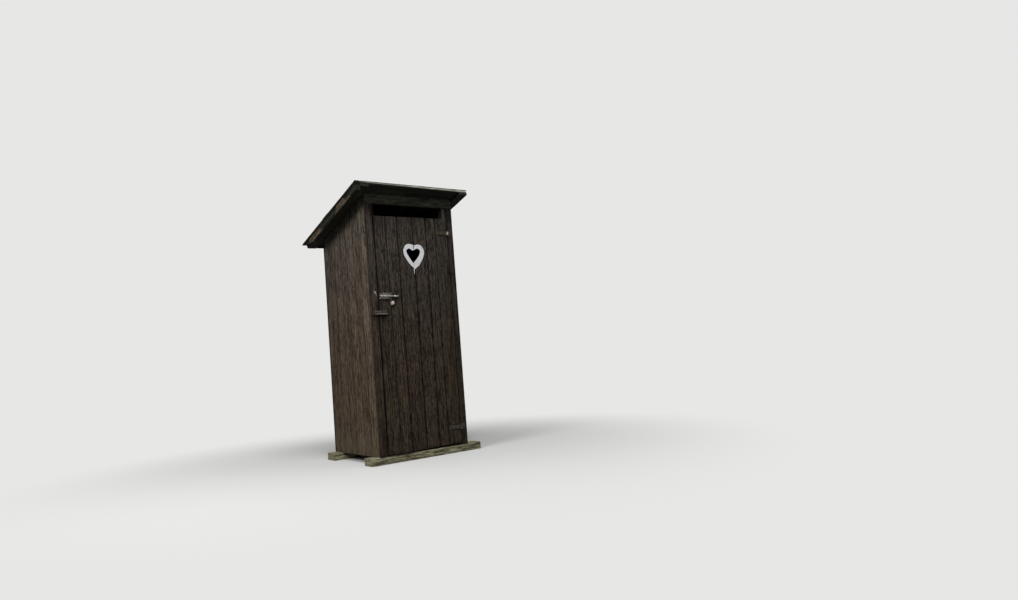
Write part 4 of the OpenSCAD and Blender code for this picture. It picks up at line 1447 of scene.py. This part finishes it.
def make_felt():
    thick, lap = settings("roof").felt_t / MM, settings("roof").lap / MM
    lower_start, upper_end = LAP_S - lap / 2, LAP_S + lap / 2

    def upper_lift(s):
        return thick * 0.95 * min(1.0, max(0.0, (s - lower_start + 18) / 18))

    sheets = [felt_sheet(lower_start, ROOF_LEN + 0.5, thick, lambda s: 0.0),
              felt_sheet(-1.5, upper_end, thick, upper_lift), felt_drip(thick), felt_wrap(thick)]
    obj = joined("roof_felt_sheets", sheets, felt("felt_finish"))
    settle(obj, "hut", "bitumen_felt", "roof_felt")
    surface = Surface(obj, "hut")
    for s in np.arange(30, ROOF_LEN - 120, FOLD_CLOUTS):
        fix("clout", surface, on_roof(FELT_LEFT, s + 6 * ripple(s, 1), -12), -X)
    for x in np.arange(-130, 960, LAP_CLOUTS):
        fix("clout", surface, on_roof(x + 8 * ripple(x, 1), upper_end - 22, 0), ROOF_UP)
        fix("clout", surface, on_roof(x + 8 * ripple(x, 2), 20, 0), ROOF_UP)
    for x in np.arange(-80, 960, REAR_CLOUTS):
        fix("clout", surface, on_roof(x, ROOF_LEN, -24), DOWN_SLOPE)


# The door

DOOR_FACE, DOOR_T = -6, 22
# The door's joints, which lean: where they are at half height, and how far to the right their feet are
DOOR_JOINTS = (73, 191, 298.5, 449.5, 583.5, 679.5, 812)
DOOR_LEANS = (0, 9, 5, 2, -1.5, -1.5, 0)
DOOR_GAPS = (0.0, 1.8, 3.8, 4.4, 4.0, 2.0, 0.0)
DOOR_TONES = (0.44, 0.56, 0.47, 0.62, 0.50, 0.36)
# Heights of the door's foot and top at its left edge, and how steeply both rise to the right
DOOR_FOOT, DOOR_TOP, FOOT_SLOPE, TOP_SLOPE = FOOT + 6, FOOT + 2052, 15 / 739, 8 / 739
# Heights of the nails into the two ledges
LEDGE_NAILS = [FOOT + ledge + up for ledge in (180, 1830) for up in (28, 72)]
BRACE_W = 0.095
# The middle of the sawn heart, and the outlines of the heart and its painted border: the tip first, then up
# the left side
HEART_X, HEART_Z = 447, FOOT + 1709
HEART_HOLE = ((-11, -60), (-32, -33), (-53, -3), (-68, 21), (-73, 38), (-66, 56), (-44, 65), (-23, 56),
              (-6, 47), (16, 60), (37, 66), (60, 56), (64, 39), (58, 18), (37, -12), (10, -42))
HEART_BORDER = ((5, -117), (-6, -106), (-32, -88), (-59, -58), (-83, -22), (-98, 8), (-104, 41), (-95, 74),
                (-77, 95), (-53, 106), (-23, 104), (3, 98), (19, 97), (49, 104), (79, 92), (97, 71),
                (105, 41), (102, 14), (88, -22), (64, -58), (49, -81), (37, -91), (14, -107))


def loop_radius(points, angles):
    """How far a smooth closed curve through the points lies from its middle, at each angle."""
    points = np.array(points, float)
    fine = []
    for i in range(len(points)):
        a, b, c, d = (points[(i + k) % len(points)] for k in (-1, 0, 1, 2))
        for t in np.linspace(0, 1, 8, endpoint=False):
            fine.append(b + 0.5 * t * (c - a + t * (2 * a - 5 * b + 4 * c - d + t * (3 * b - a - 3 * c + d))))
    fine = np.array(fine)
    return np.interp(angles, np.arctan2(fine[:, 1], fine[:, 0]), np.hypot(*fine.T), period=2 * math.pi)


def heart_prism():
    """A prism with the heart's outline, sawn a little unevenly."""
    angles = np.linspace(0, 2 * math.pi, 144, endpoint=False)
    uneven = [0.6 * ripple(9 * math.cos(t), 9 * math.sin(t), 2.0) for t in angles]
    radii = loop_radius(HEART_HOLE, angles) + uneven
    points = [(HEART_X + r * math.cos(t), HEART_Z + r * math.sin(t)) for t, r in zip(angles, radii)]
    return loft("heart", [[at(x, y, z) for x, z in points] for y in (-50, 60)])


def film_point(surface, x, z, lift):
    """A point of the paint film, over the nearest board where it crosses a joint."""
    for aside in (0, -3, 3, -6, 6):
        place = surface.drop(at(x + aside, DOOR_FACE, z), -Y)
        if place is not None and place[1] < (DOOR_FACE + 1.5) * MM - HUT_ORIGIN[1]:
            break
    else:
        place = at(x, DOOR_FACE, z)
    return np.array([at(x, 0, z)[0], place[1] - lift, place[2]])


def paint_heart(surface):
    """The white border: paint over the boards, open at the joint above the heart, with a run below."""
    angles = np.radians(np.linspace(92.2, 447.8, 150))
    inside, outside = loop_radius(HEART_HOLE, angles), loop_radius(HEART_BORDER, angles)
    outside = outside + [1.3 * ripple(6 * math.cos(t), 6 * math.sin(t), 7.0) for t in angles]
    border = [[(r * math.cos(t), r * math.sin(t)) for r in np.linspace(a + 1.2, b, 9)]
              for t, a, b in zip(angles, inside, outside)]
    run = [[(w * (1.5 - 1.2 * q) - 3 - 5 * q, -98 - 66 * q) for w in (-3.4, -1.7, 0, 1.7, 3.4)]
           for q in np.linspace(0, 1, 14)]
    films = []
    for sheet in (border, run):
        layers = [[[film_point(surface, HEART_X + x, HEART_Z + z, lift) for x, z in row] for row in sheet]
                  for lift in (0.35 * MM, -0.25 * MM)]
        films.append(shell("film", *layers))
    paint = white_paint("white_paint_film", settings("colours").paint)
    settle(joined("heart_paint", films, paint), "door", "door_boards")


def lean_boards(co, joints_from, joints_to):
    """Moves points sideways, so that each board's sides follow other joints. Gives each point's board too."""
    half_way = (co[:, 2] / MM - FOOT) / 1030 - 1
    x = (co[:, 0] + HUT_ORIGIN[0]) / MM
    lean = -np.outer(half_way, DOOR_LEANS)
    old, new = DOOR_JOINTS + joints_from * lean, DOOR_JOINTS + joints_to * lean
    index = np.clip((x[:, None] > old).sum(1) - 1, 0, len(DOOR_JOINTS) - 2)
    rows = np.arange(len(x))
    part = (x - old[rows, index]) / (old[rows, index + 1] - old[rows, index])
    co = co.copy()
    co[:, 0] = (new[rows, index] + part * (new[rows, index + 1] - new[rows, index])) * MM - HUT_ORIGIN[0]
    return co, index


def make_door_leaf():
    y = DOOR_FACE + DOOR_T / 2
    planks = []
    for i, (low, high) in enumerate(zip(DOOR_JOINTS, DOOR_JOINTS[1:])):
        low, high = low + DOOR_GAPS[i] / 2, high - DOOR_GAPS[i + 1] / 2
        x = (low + high) / 2
        foot = at(x, y, DOOR_FOOT + (x - DOOR_JOINTS[0]) * FOOT_SLOPE)
        top = at(x, y, DOOR_TOP + (x - DOOR_JOINTS[0]) * TOP_SLOPE)
        planks.append(plank(foot, top, X, -Y, (high - low) * MM, (DOOR_T - 0.6) * MM, DOOR_TONES[i],
                            FOOT_SLOPE, TOP_SLOPE))
    finish = door_stain()
    leaf = planks_piece("door_boards", planks, finish, lanes=7, spacing=0.02, bend=0.7)
    move_vertices(leaf.data, lean_boards(coordinates(leaf.data), 0, 1)[0])
    cutter = new_object("heart_cutter", heart_prism())
    hole = leaf.modifiers.new("Heart", "BOOLEAN")
    hole.object, hole.operation, hole.solver = cutter, "DIFFERENCE", "EXACT"
    apply_modifiers(leaf)
    bpy.data.objects.remove(cutter)

    # the sawn faces have the grain of their boards too
    co, index = lean_boards(coordinates(leaf.data), 1, 0)
    rel = co - np.array([p["start"] for p in planks])[index]
    half = np.array([p["width"] for p in planks])[index] / 2
    write_layers(leaf.data, {"grain": np.stack([rel[:, 0], -rel[:, 1], rel[:, 2]], 1),
                             "tone": np.array(DOOR_TONES)[index], "rim": np.abs(rel[:, 0]) > half - 0.0022,
                             "face": -rel[:, 1] / (DOOR_T * MM / 2)})
    finish_piece(leaf, finish)
    settle(leaf, "door", "door_boards", "door_leaf")
    surface = Surface(leaf, "door")
    paint_heart(surface)
    nail_boards(surface, DOOR_JOINTS, lambda x, z: (x, DOOR_FACE, z), -Y, LEDGE_NAILS, inset=30)


def make_door_ledges():
    for i, node in enumerate(("upper_ledge", "lower_ledge")):
        obj = planks_piece(node + "_plank", [beam(node, X, Y, Z, tone_of(i, 12))], bare_wood(), lanes=4,
                           round_mm=3, bend=0.3)
        settle(obj, "door", "bare_timber", node)
    low, high = box("door_brace")
    y = (low[1] + high[1]) / 2
    start, end = np.array([high[0] - BRACE_W / 2, y, low[2]]), np.array([low[0] + BRACE_W / 2, y, high[2]])
    direction = (end - start) / np.linalg.norm(end - start)
    across = np.cross(direction, Y)
    across *= np.sign(across[0])
    skew = -across[2] / direction[2]
    brace = plank(start, end, across, Y, BRACE_W * across[0], high[1] - low[1], 0.55, skew, skew)
    obj = planks_piece("door_brace_plank", [brace], bare_wood(), lanes=4, bend=0.3)
    settle(obj, "door", "bare_timber", "door_brace")


# Ironwork

# The hinges' feet over the walls' foot, and their screws: x and height over the hinge's middle
HINGES = {"upper": (1901, dark_iron), "lower": (138, brown_iron)}
HINGE_HALF_H = 23.5
STRAP_SCREWS, LEAF_SCREWS = ((703, 0), (728, 9), (752, -9), (780, 0)), ((838, 13), (838, -13), (853, 0))
# The bolt: the rod's height, depth and radius, the plate, and the ends of the barrel and the end guide
BOLT_Z, ROD_Y, ROD_R = FOOT + 1352, DOOR_FACE - 13, 6.5
PLATE_LEFT, PLATE_RIGHT, PLATE_FOOT, PLATE_TOP, PLATE_T = 82, 198, FOOT + 1328, FOOT + 1380, 2.5
BARREL, END_GUIDE = (104, 174), (83, 97)
# Its screws, bright and rusty: x and height over the rod's middle
BRIGHT_SCREWS = ((97, 14.5), (140, 17), (170, 16), (192, 15))
RUSTY_SCREWS = ((97, -15.5), (181, -18), (121, -19), (158, -19))
# Profiles of the rod from its left end, with the collar, and of the knob from the rod's middle
ROD = ((0, 5.4), (1.2, ROD_R), (124.6, ROD_R), (125.4, 7.9), (126.2, 8.0), (133.8, 8.0), (134.6, 7.9),
       (135.4, ROD_R), (165.6, ROD_R), (167, 5.4))
KNOB = ((2, 4.2), (8, 3.9), (9, 3.8), (10, 5.0), (11.5, 5.8), (13.5, 5.8), (15, 4.4), (15.5, 1.5))
# The lug that holds the padlock: its middle, its hole's centre and radius, and how far it reaches
LUG_X, LUG_T, LUG_HOLE, LUG_HOLE_R = 185.5, 2.5, (-14, FOOT + 1326), 4.5
LUG_Y, LUG_Z = (-21.8, -7.4), (FOOT + 1319.2, FOOT + 1340)
# The loose keeper: its middle, how far it hangs aslant, its thickness, and how far off its screw is
KEEPER_X, KEEPER_Z, KEEPER_TILT, KEEPER_T, KEEPER_SCREW = 48, BOLT_Z + 27, math.radians(62), 2.5, 13
# The padlock's width, thickness and height, how far it hangs aslant, and its shackle
LOCK_SIZE, LOCK_TILT = (32, 14, 27), math.radians(22)
SHACKLE_R, SHACKLE_WIRE, SHACKLE_LEG = 9, 2.2, 11


def iron_part(node, name, width_mm, body, finish, slot="rusty_iron"):
    """A packed fitting with rounded edges, as a finished piece."""
    obj = softened(node, name, width_mm)
    finish_piece(obj, finish, 30)
    return settle(obj, body, slot, node)


def make_hinges():
    for side, (foot, finish) in HINGES.items():
        strap = iron_part(side + "_door_hinge", side + "_hinge_strap", 0.8, "door", finish())
        leaf = iron_part(side + "_jamb_hinge", side + "_hinge_leaf", 0.8, "hut", finish())
        z = FOOT + foot + HINGE_HALF_H
        for obj, body, screws, y, size in ((strap, "door", STRAP_SCREWS, DOOR_FACE, 1.05),
                                           (leaf, "hut", LEAF_SCREWS, 0, 1.0)):
            surface = Surface(obj, body)
            for x, up in screws:
                fix("screw", surface, at(x, y, z + up), -Y, size)


def saddle(x0, x1):
    """A strap pressed over the rod, with a flange above and below."""
    inside, outside = ROD_R + 0.9, ROD_R + 3.1
    layers = []
    for r, base in ((outside, DOOR_FACE - PLATE_T - 2.2), (inside, DOOR_FACE - PLATE_T)):
        line = [(-outside - 9, base), (-r, base)]
        line += [(-r * math.cos(t), ROD_Y - r * math.sin(t)) for t in np.linspace(0, math.pi, 17)]
        line += [(r, base), (outside + 5, base)]
        layers.append([[at(x, y, BOLT_Z + z) for z, y in line] for x in (x0, x0 + 0.6, x1 - 0.6, x1)])
    return shell("saddle", *layers)


def lug_reach(y, z):
    """How far the lug reaches from the middle of its hole, in the direction of y and z."""
    reach = 7.8
    if z >= 0:
        reach = min(reach / max(abs(y), 1e-6), (LUG_Z[1] - LUG_HOLE[1]) / max(z, 1e-6))
    if y > 1e-6:
        reach = min(reach, (LUG_Y[1] - LUG_HOLE[0]) / y)
    if z < -1e-6:
        reach = min(reach, (LUG_HOLE[1] - LUG_Z[0]) / -z)
    return reach


def lug():
    """A tongue bent out of the plate, with a round hole for the shackle."""
    rings = []
    for side, part in ((-1, 1.0), (1, 1.0), (1, 0.0), (-1, 0.0)):
        ring = []
        for t in np.linspace(0, 2 * math.pi, 40, endpoint=False):
            y, z = math.cos(t), math.sin(t)
            r = LUG_HOLE_R + (lug_reach(y, z) - LUG_HOLE_R) * part
            ring.append(at(LUG_X + side * LUG_T / 2, LUG_HOLE[0] + r * y, LUG_HOLE[1] + r * z))
        rings.append(ring)
    # the last ring joins the first
    faces = [[i % 160 for i in face] for face in ring_faces(5, 40)]
    return bevelled(mesh_from("lug", rings, faces), 0.5)


def make_bolt():
    base = DOOR_FACE - PLATE_T
    back = plate("back_plate", at(PLATE_LEFT, base, PLATE_FOOT), at(PLATE_RIGHT, DOOR_FACE, PLATE_TOP), 0.8)
    obj = joined("bolt_back_plate", [back, lug()], dull_zinc())
    settle(obj, "door", "zinc_steel", "bolt_plate")
    flange = plate("flange", at(PLATE_LEFT + 1, base - 5.5, PLATE_TOP - 3.2),
                   at(PLATE_RIGHT - 1, base + 1, PLATE_TOP - 0.1), 0.8)
    barrel = joined("bolt_barrel", [saddle(*BARREL), saddle(*END_GUIDE), flange], zinc("zinc", rusting=0.06))
    settle(barrel, "door", "zinc_steel")
    surface = Surface(obj, "door")
    for kind, screws, size in (("bolt_screw", BRIGHT_SCREWS, 0.8), ("screw", RUSTY_SCREWS, 1.15)):
        for x, up in screws:
            fix(kind, surface, at(x, base, BOLT_Z + up), -Y, size)
    rod = joined("bolt_rod_and_knob", [turned("rod", at(88, ROD_Y, BOLT_Z), X, ROD)],
                 zinc("rod_zinc", (0.15, 0.15, 0.13), (0.36, 0.36, 0.32)))
    settle(rod, "bolt", "zinc_steel", "bolt_rod")
    # painted highlight: the knob is near white
    knob = joined("bolt_knob", [turned("knob", at(218, ROD_Y, BOLT_Z), -Y, KNOB, 24)],
                  zinc("bright_zinc", (0.62, 0.62, 0.57), (0.85, 0.85, 0.80), -0.08))
    settle(knob, "bolt", "zinc_steel")


def make_keeper():
    iron_part("bolt_keeper", "bolt_keeper_strap", 0.6, "hut", worn_zinc(), "zinc_steel")
    aside, up = KEEPER_SCREW * math.cos(KEEPER_TILT), KEEPER_SCREW * math.sin(KEEPER_TILT)
    drive("bolt_screw", "hut", at(KEEPER_X - aside, -KEEPER_T, KEEPER_Z + up), -Y, 0.95)


def make_padlock():
    up = np.array([-math.sin(LOCK_TILT), 0, math.cos(LOCK_TILT)])
    right = np.array([math.cos(LOCK_TILT), 0, math.sin(LOCK_TILT)])
    apex = at(LUG_X, LUG_HOLE[0], LUG_HOLE[1] - LUG_HOLE_R + SHACKLE_WIRE + 0.4)
    half = np.array(LOCK_SIZE) * MM / 2
    centre = apex - up * (half[2] + (SHACKLE_LEG + SHACKLE_R) * MM)
    band = half * [1.012, 0.93, 0]
    parts = [plate("lock_body", -half, half, 3.0, 4),
             plate("lock_band", -band - 0.0105 * Z, band - 0.0085 * Z, 0.4),
             turned("lock_key", -0.0128 * Z, -Z, [(0, 4.6), (1.0, 4.4), (1.3, 3.6)], 20)]
    for side in (-1, 1):
        parts.append(turned("lock_socket", np.array([side * SHACKLE_R * MM, 0, half[2] - 0.0006]), Z,
                            [(0, 3.6), (1.2, 3.4), (1.5, 2.9)], 20))
    hanging = Matrix.Translation(Vector(centre)) @ Matrix((right, Y, up)).transposed().to_4x4()
    for mesh in parts:
        mesh.transform(hanging)
    settle(joined("padlock_body", parts, brass("brass")), "door", "pale_brass", "padlock")

    r, leg = SHACKLE_R * MM, SHACKLE_LEG * MM
    top = apex - up * r
    path = [top - right * r - up * q * leg for q in (1.05, 0.7, 0.35)]
    path += [top + (up * math.sin(t) - right * math.cos(t)) * r for t in np.linspace(0, math.pi, 24)]
    path += [top + right * r - up * q * leg for q in (0.35, 0.7, 1.05)]
    # the shackle takes the dark zinc, painted shade for the shadow it hangs in
    shackle = joined("padlock_shackle", [bent_wire("shackle", path, SHACKLE_WIRE, 14)], dull_zinc())
    settle(shackle, "door", "zinc_steel")


def make_turn_bar():
    obj = softened("turn_bar", "turn_bar_wood", 2.6, 3)
    low, high = box("turn_bar")
    middle = (low + high) / 2
    with edited(obj.data) as bm:
        for axis, count in ((X, 34), (Z, 12)):
            for reach in np.linspace(low @ axis, high @ axis, count)[1:-1]:
                bisect(bm, reach * axis, axis)
    co = coordinates(obj.data)
    for c in co:
        x, y, z = (c - middle) / MM
        worn = 0.7 * ripple(x * 0.03, z * 0.35, 3.0) + 0.5 * ripple(x * 0.012, z * 0.1, 9.0)
        c[1] -= (worn + 0.2) * np.sign(y) * MM
        if abs(z) > 12:
            c[2] -= np.sign(z) * max(0.0, 0.5 + 1.2 * ripple(x * 0.03, np.sign(z))) * MM
    move_vertices(obj.data, co)
    lay_grain(obj.data, middle, X, Z, -Y, 0.5)
    finish_piece(obj, bar_wood(), 40)
    settle(obj, "bar", "grey_timber", "turn_bar")
    iron_part("bar_nail_and_washer", "bar_nail", 0.5, "door", iron("rust"))


def make_fixings():
    for body in ("hut", "door"):
        fixings_piece(body + "_nails", "nail", body, nail_head(), nail_iron(), "rusty_iron")
        fixings_piece(body + "_hinge_screws", "screw", body, screw_head(), dark_iron(), "rusty_iron")
        fixings_piece(body + "_bolt_screws", "bolt_screw", body, screw_head(), dull_zinc(), "zinc_steel")
    fixings_piece("felt_clouts", "clout", "hut", clout_head(), iron("rust"), "rusty_iron")


# The stage

# The floor's half width, its colour, and how far off it begins and ends to melt into the background
FLOOR_REACH, FLOOR_COLOUR, FADE = 60.0, (0.57, 0.57, 0.56), (0.9, 3.6)


def floor_square(material):
    """A wide square of floor at the hut's foot."""
    mesh = bpy.data.meshes.new("stage_floor")
    corners = [(x * FLOOR_REACH, y * FLOOR_REACH, 0) for x, y in ((-1, -1), (1, -1), (1, 1), (-1, 1))]
    mesh.from_pydata(corners, [], [(0, 1, 2, 3)])
    mesh.materials.append(material)
    return new_object("stage_floor", mesh)


def floor_finish(pale, bounce):
    """A pale floor that melts into the background some way off, and keeps the hut's shadow."""
    material = bpy.data.materials.new("stage_floor")
    material.use_nodes = True
    material.node_tree.nodes.clear()
    n = Nodes(material.node_tree)
    path = n.add("ShaderNodeLightPath").outputs
    shader = n.add("ShaderNodeBsdfPrincipled", {
        "Base Color": n.mix(path["Is Diffuse Ray"], FLOOR_COLOUR, [bounce] * 3), "Roughness": 0.95,
        "Specular IOR Level": 0.1})
    glow = n.add("ShaderNodeEmission", {"Color": (*pale, 1), "Strength": 1.0})
    far = n.times(n.ramp(n.vector("LENGTH", n.place()), *FADE), path["Is Camera Ray"])
    both = n.add("ShaderNodeMixShader", {0: far, 1: shader.outputs[0], 2: glow.outputs[0]})
    n.add("ShaderNodeOutputMaterial", {"Surface": both.outputs[0]})
    return material


def stage_sky(pale, around):
    """Even light from all round, with the pale background for what looks past the hut."""
    world = bpy.data.worlds.new("studio")
    bpy.context.scene.world = world
    world.use_nodes = True
    world.node_tree.nodes.clear()
    n = Nodes(world.node_tree)
    path = n.add("ShaderNodeLightPath").outputs
    mirrored = n.math("MAXIMUM", path["Is Glossy Ray"], path["Is Transmission Ray"])
    seen = n.math("MAXIMUM", path["Is Camera Ray"], mirrored)
    light = n.add("ShaderNodeBackground", {"Color": (1, 1, 1, 1), "Strength": around})
    shown = n.add("ShaderNodeBackground", {"Color": (*pale, 1), "Strength": 1.0})
    both = n.add("ShaderNodeMixShader", {0: seen, 1: light.outputs[0], 2: shown.outputs[0]})
    n.add("ShaderNodeOutputWorld", {"Surface": both.outputs[0]})


def stage_object(name, data, place, turn):
    """A lamp or camera at a place, with its turn as a quaternion."""
    obj = new_object(name, data)
    obj.location = place
    obj.rotation_mode = "QUATERNION"
    obj.rotation_quaternion = turn
    return obj


def area_lamp(name, place, aim_height, size, energy):
    """A round lamp that shines on a point over the frame's origin."""
    lamp = bpy.data.lights.new(name, "AREA")
    lamp.shape, lamp.size, lamp.energy = "DISK", size, energy
    stage_object(name, lamp, place, (Vector((0, 0, aim_height)) - Vector(place)).to_track_quat("-Z", "Y"))


def stage_camera():
    forward = np.array([math.sin(CAMERA_YAW) * math.cos(CAMERA_PITCH),
                        math.cos(CAMERA_YAW) * math.cos(CAMERA_PITCH), -math.sin(CAMERA_PITCH)])
    level = np.array([math.cos(CAMERA_YAW), -math.sin(CAMERA_YAW), 0])
    down = np.cross(forward, level)
    right = level * math.cos(CAMERA_ROLL) + down * math.sin(CAMERA_ROLL)
    up = level * math.sin(CAMERA_ROLL) - down * math.cos(CAMERA_ROLL)
    camera = bpy.data.cameras.new("camera")
    camera.sensor_width, camera.sensor_fit = SENSOR_MM, "HORIZONTAL"
    camera.lens = SENSOR_MM * FOCAL_PIXELS / PICTURE_WIDTH
    turn = Matrix((right, up, -forward)).transposed().to_quaternion()
    bpy.context.scene.camera = stage_object("camera", camera, CAMERA_PLACE, turn)


def make_stage():
    stage = settings("stage")
    bpy.context.scene.view_settings.view_transform = "Standard"
    stage_camera()
    floor_square(floor_finish(stage.pale, stage.bounce))
    stage_sky(stage.pale, stage.around)
    area_lamp("key", (-5.0, -1.9, 4.4), 1.1, 3.0, stage.key_power)
    area_lamp("fill", (3.4, -5.2, 4.0), 1.2, 3.6, stage.fill_power)
    area_lamp("overhead", (-1.0, -3.2, 6.6), 1.2, 2.2, stage.top_power)


# Operators, one for each group of pieces, in the order in which they run


class OUTHOUSE_OT_sleepers(bpy.types.Operator):
    """Lay the two worn timbers under the hut"""

    bl_idname = "outhouse.sleepers"
    bl_label = "Sleepers"

    def execute(self, context):
        make_sleepers()
        return {"FINISHED"}


class OUTHOUSE_OT_inner_frame(bpy.types.Operator):
    """Set up the posts, sills, rails and rafters"""

    bl_idname = "outhouse.inner_frame"
    bl_label = "Inner frame"

    def execute(self, context):
        make_inner_frame()
        return {"FINISHED"}


class OUTHOUSE_OT_floor(bpy.types.Operator):
    """Lay the floor boards between the posts"""

    bl_idname = "outhouse.floor"
    bl_label = "Floor"

    def execute(self, context):
        make_floor()
        return {"FINISHED"}


class OUTHOUSE_OT_walls(bpy.types.Operator):
    """Nail up the boards of the side and rear walls"""

    bl_idname = "outhouse.walls"
    bl_label = "Walls"

    def execute(self, context):
        make_walls()
        return {"FINISHED"}


class OUTHOUSE_OT_front_boards(bpy.types.Operator):
    """Put the boards beside the door and over the vent slot"""

    bl_idname = "outhouse.front_boards"
    bl_label = "Front boards"

    def execute(self, context):
        make_front_boards()
        return {"FINISHED"}


class OUTHOUSE_OT_roof_boards(bpy.types.Operator):
    """Lay the roof boards and the boards under their ends"""

    bl_idname = "outhouse.roof_boards"
    bl_label = "Roof boards"

    def execute(self, context):
        make_roof_boards()
        return {"FINISHED"}


class OUTHOUSE_OT_barge_board(bpy.types.Operator):
    """Nail on the barge board with its level cut"""

    bl_idname = "outhouse.barge_board"
    bl_label = "Barge board"

    def execute(self, context):
        make_barge_board()
        return {"FINISHED"}


class OUTHOUSE_OT_felt(bpy.types.Operator):
    """Roll out the felt, lap it and fold it down"""

    bl_idname = "outhouse.felt"
    bl_label = "Roof felt"

    def execute(self, context):
        make_felt()
        return {"FINISHED"}


class OUTHOUSE_OT_door_leaf(bpy.types.Operator):
    """Make the door's boards and saw out the heart"""

    bl_idname = "outhouse.door_leaf"
    bl_label = "Door"

    def execute(self, context):
        make_door_leaf()
        return {"FINISHED"}


class OUTHOUSE_OT_door_ledges(bpy.types.Operator):
    """Fix the ledges and the brace behind the door"""

    bl_idname = "outhouse.door_ledges"
    bl_label = "Ledges and brace"

    def execute(self, context):
        make_door_ledges()
        return {"FINISHED"}


class OUTHOUSE_OT_hinges(bpy.types.Operator):
    """Hang the strap hinges"""

    bl_idname = "outhouse.hinges"
    bl_label = "Hinges"

    def execute(self, context):
        make_hinges()
        return {"FINISHED"}


class OUTHOUSE_OT_bolt(bpy.types.Operator):
    """Fit the barrel bolt on its plate"""

    bl_idname = "outhouse.bolt"
    bl_label = "Bolt"

    def execute(self, context):
        make_bolt()
        return {"FINISHED"}


class OUTHOUSE_OT_keeper(bpy.types.Operator):
    """Hang the loose keeper beside the door"""

    bl_idname = "outhouse.keeper"
    bl_label = "Keeper"

    def execute(self, context):
        make_keeper()
        return {"FINISHED"}


class OUTHOUSE_OT_padlock(bpy.types.Operator):
    """Hang the padlock in its eye"""

    bl_idname = "outhouse.padlock"
    bl_label = "Padlock"

    def execute(self, context):
        make_padlock()
        return {"FINISHED"}


class OUTHOUSE_OT_turn_bar(bpy.types.Operator):
    """Nail on the wooden turn bar"""

    bl_idname = "outhouse.turn_bar"
    bl_label = "Turn bar"

    def execute(self, context):
        make_turn_bar()
        return {"FINISHED"}


class OUTHOUSE_OT_fixings(bpy.types.Operator):
    """Drive in all nails, clouts and screws"""

    bl_idname = "outhouse.fixings"
    bl_label = "Nails and screws"

    def execute(self, context):
        make_fixings()
        return {"FINISHED"}


class OUTHOUSE_OT_stage(bpy.types.Operator):
    """Put up the floor, the light and the camera"""

    bl_idname = "outhouse.stage"
    bl_label = "Stage"

    def execute(self, context):
        make_stage()
        return {"FINISHED"}


OPERATORS = (
    OUTHOUSE_OT_sleepers, OUTHOUSE_OT_inner_frame, OUTHOUSE_OT_floor, OUTHOUSE_OT_walls,
    OUTHOUSE_OT_front_boards, OUTHOUSE_OT_roof_boards, OUTHOUSE_OT_barge_board, OUTHOUSE_OT_felt,
    OUTHOUSE_OT_door_leaf, OUTHOUSE_OT_door_ledges, OUTHOUSE_OT_hinges, OUTHOUSE_OT_bolt,
    OUTHOUSE_OT_keeper, OUTHOUSE_OT_padlock, OUTHOUSE_OT_turn_bar, OUTHOUSE_OT_fixings, OUTHOUSE_OT_stage,
)


class OUTHOUSE_PT_panel(bpy.types.Panel):
    """Lists the steps that build the outhouse."""

    bl_label = "Outhouse"
    bl_idname = "OUTHOUSE_PT_panel"
    bl_space_type = "VIEW_3D"
    bl_region_type = "UI"
    bl_category = "Outhouse"

    def draw(self, context):
        for name in SETTINGS:
            group = getattr(context.scene, name)
            for key in group.bl_rna.properties.keys():
                if key not in ("rna_type", "name"):
                    self.layout.prop(group, key)
        for step in OPERATORS:
            self.layout.operator(step.bl_idname)


def register():
    for group in (*SETTINGS.values(), *OPERATORS, OUTHOUSE_PT_panel):
        bpy.utils.register_class(group)
    for name, group in SETTINGS.items():
        setattr(bpy.types.Scene, name, PointerProperty(type=group))


def unregister():
    for name in SETTINGS:
        delattr(bpy.types.Scene, name)
    for group in (OUTHOUSE_PT_panel, *reversed(OPERATORS), *SETTINGS.values()):
        bpy.utils.unregister_class(group)


def main():
    register()
    for step in OPERATORS:
        getattr(bpy.ops.outhouse, step.bl_idname.split(".")[1])()


if __name__ == "__main__":
    main()
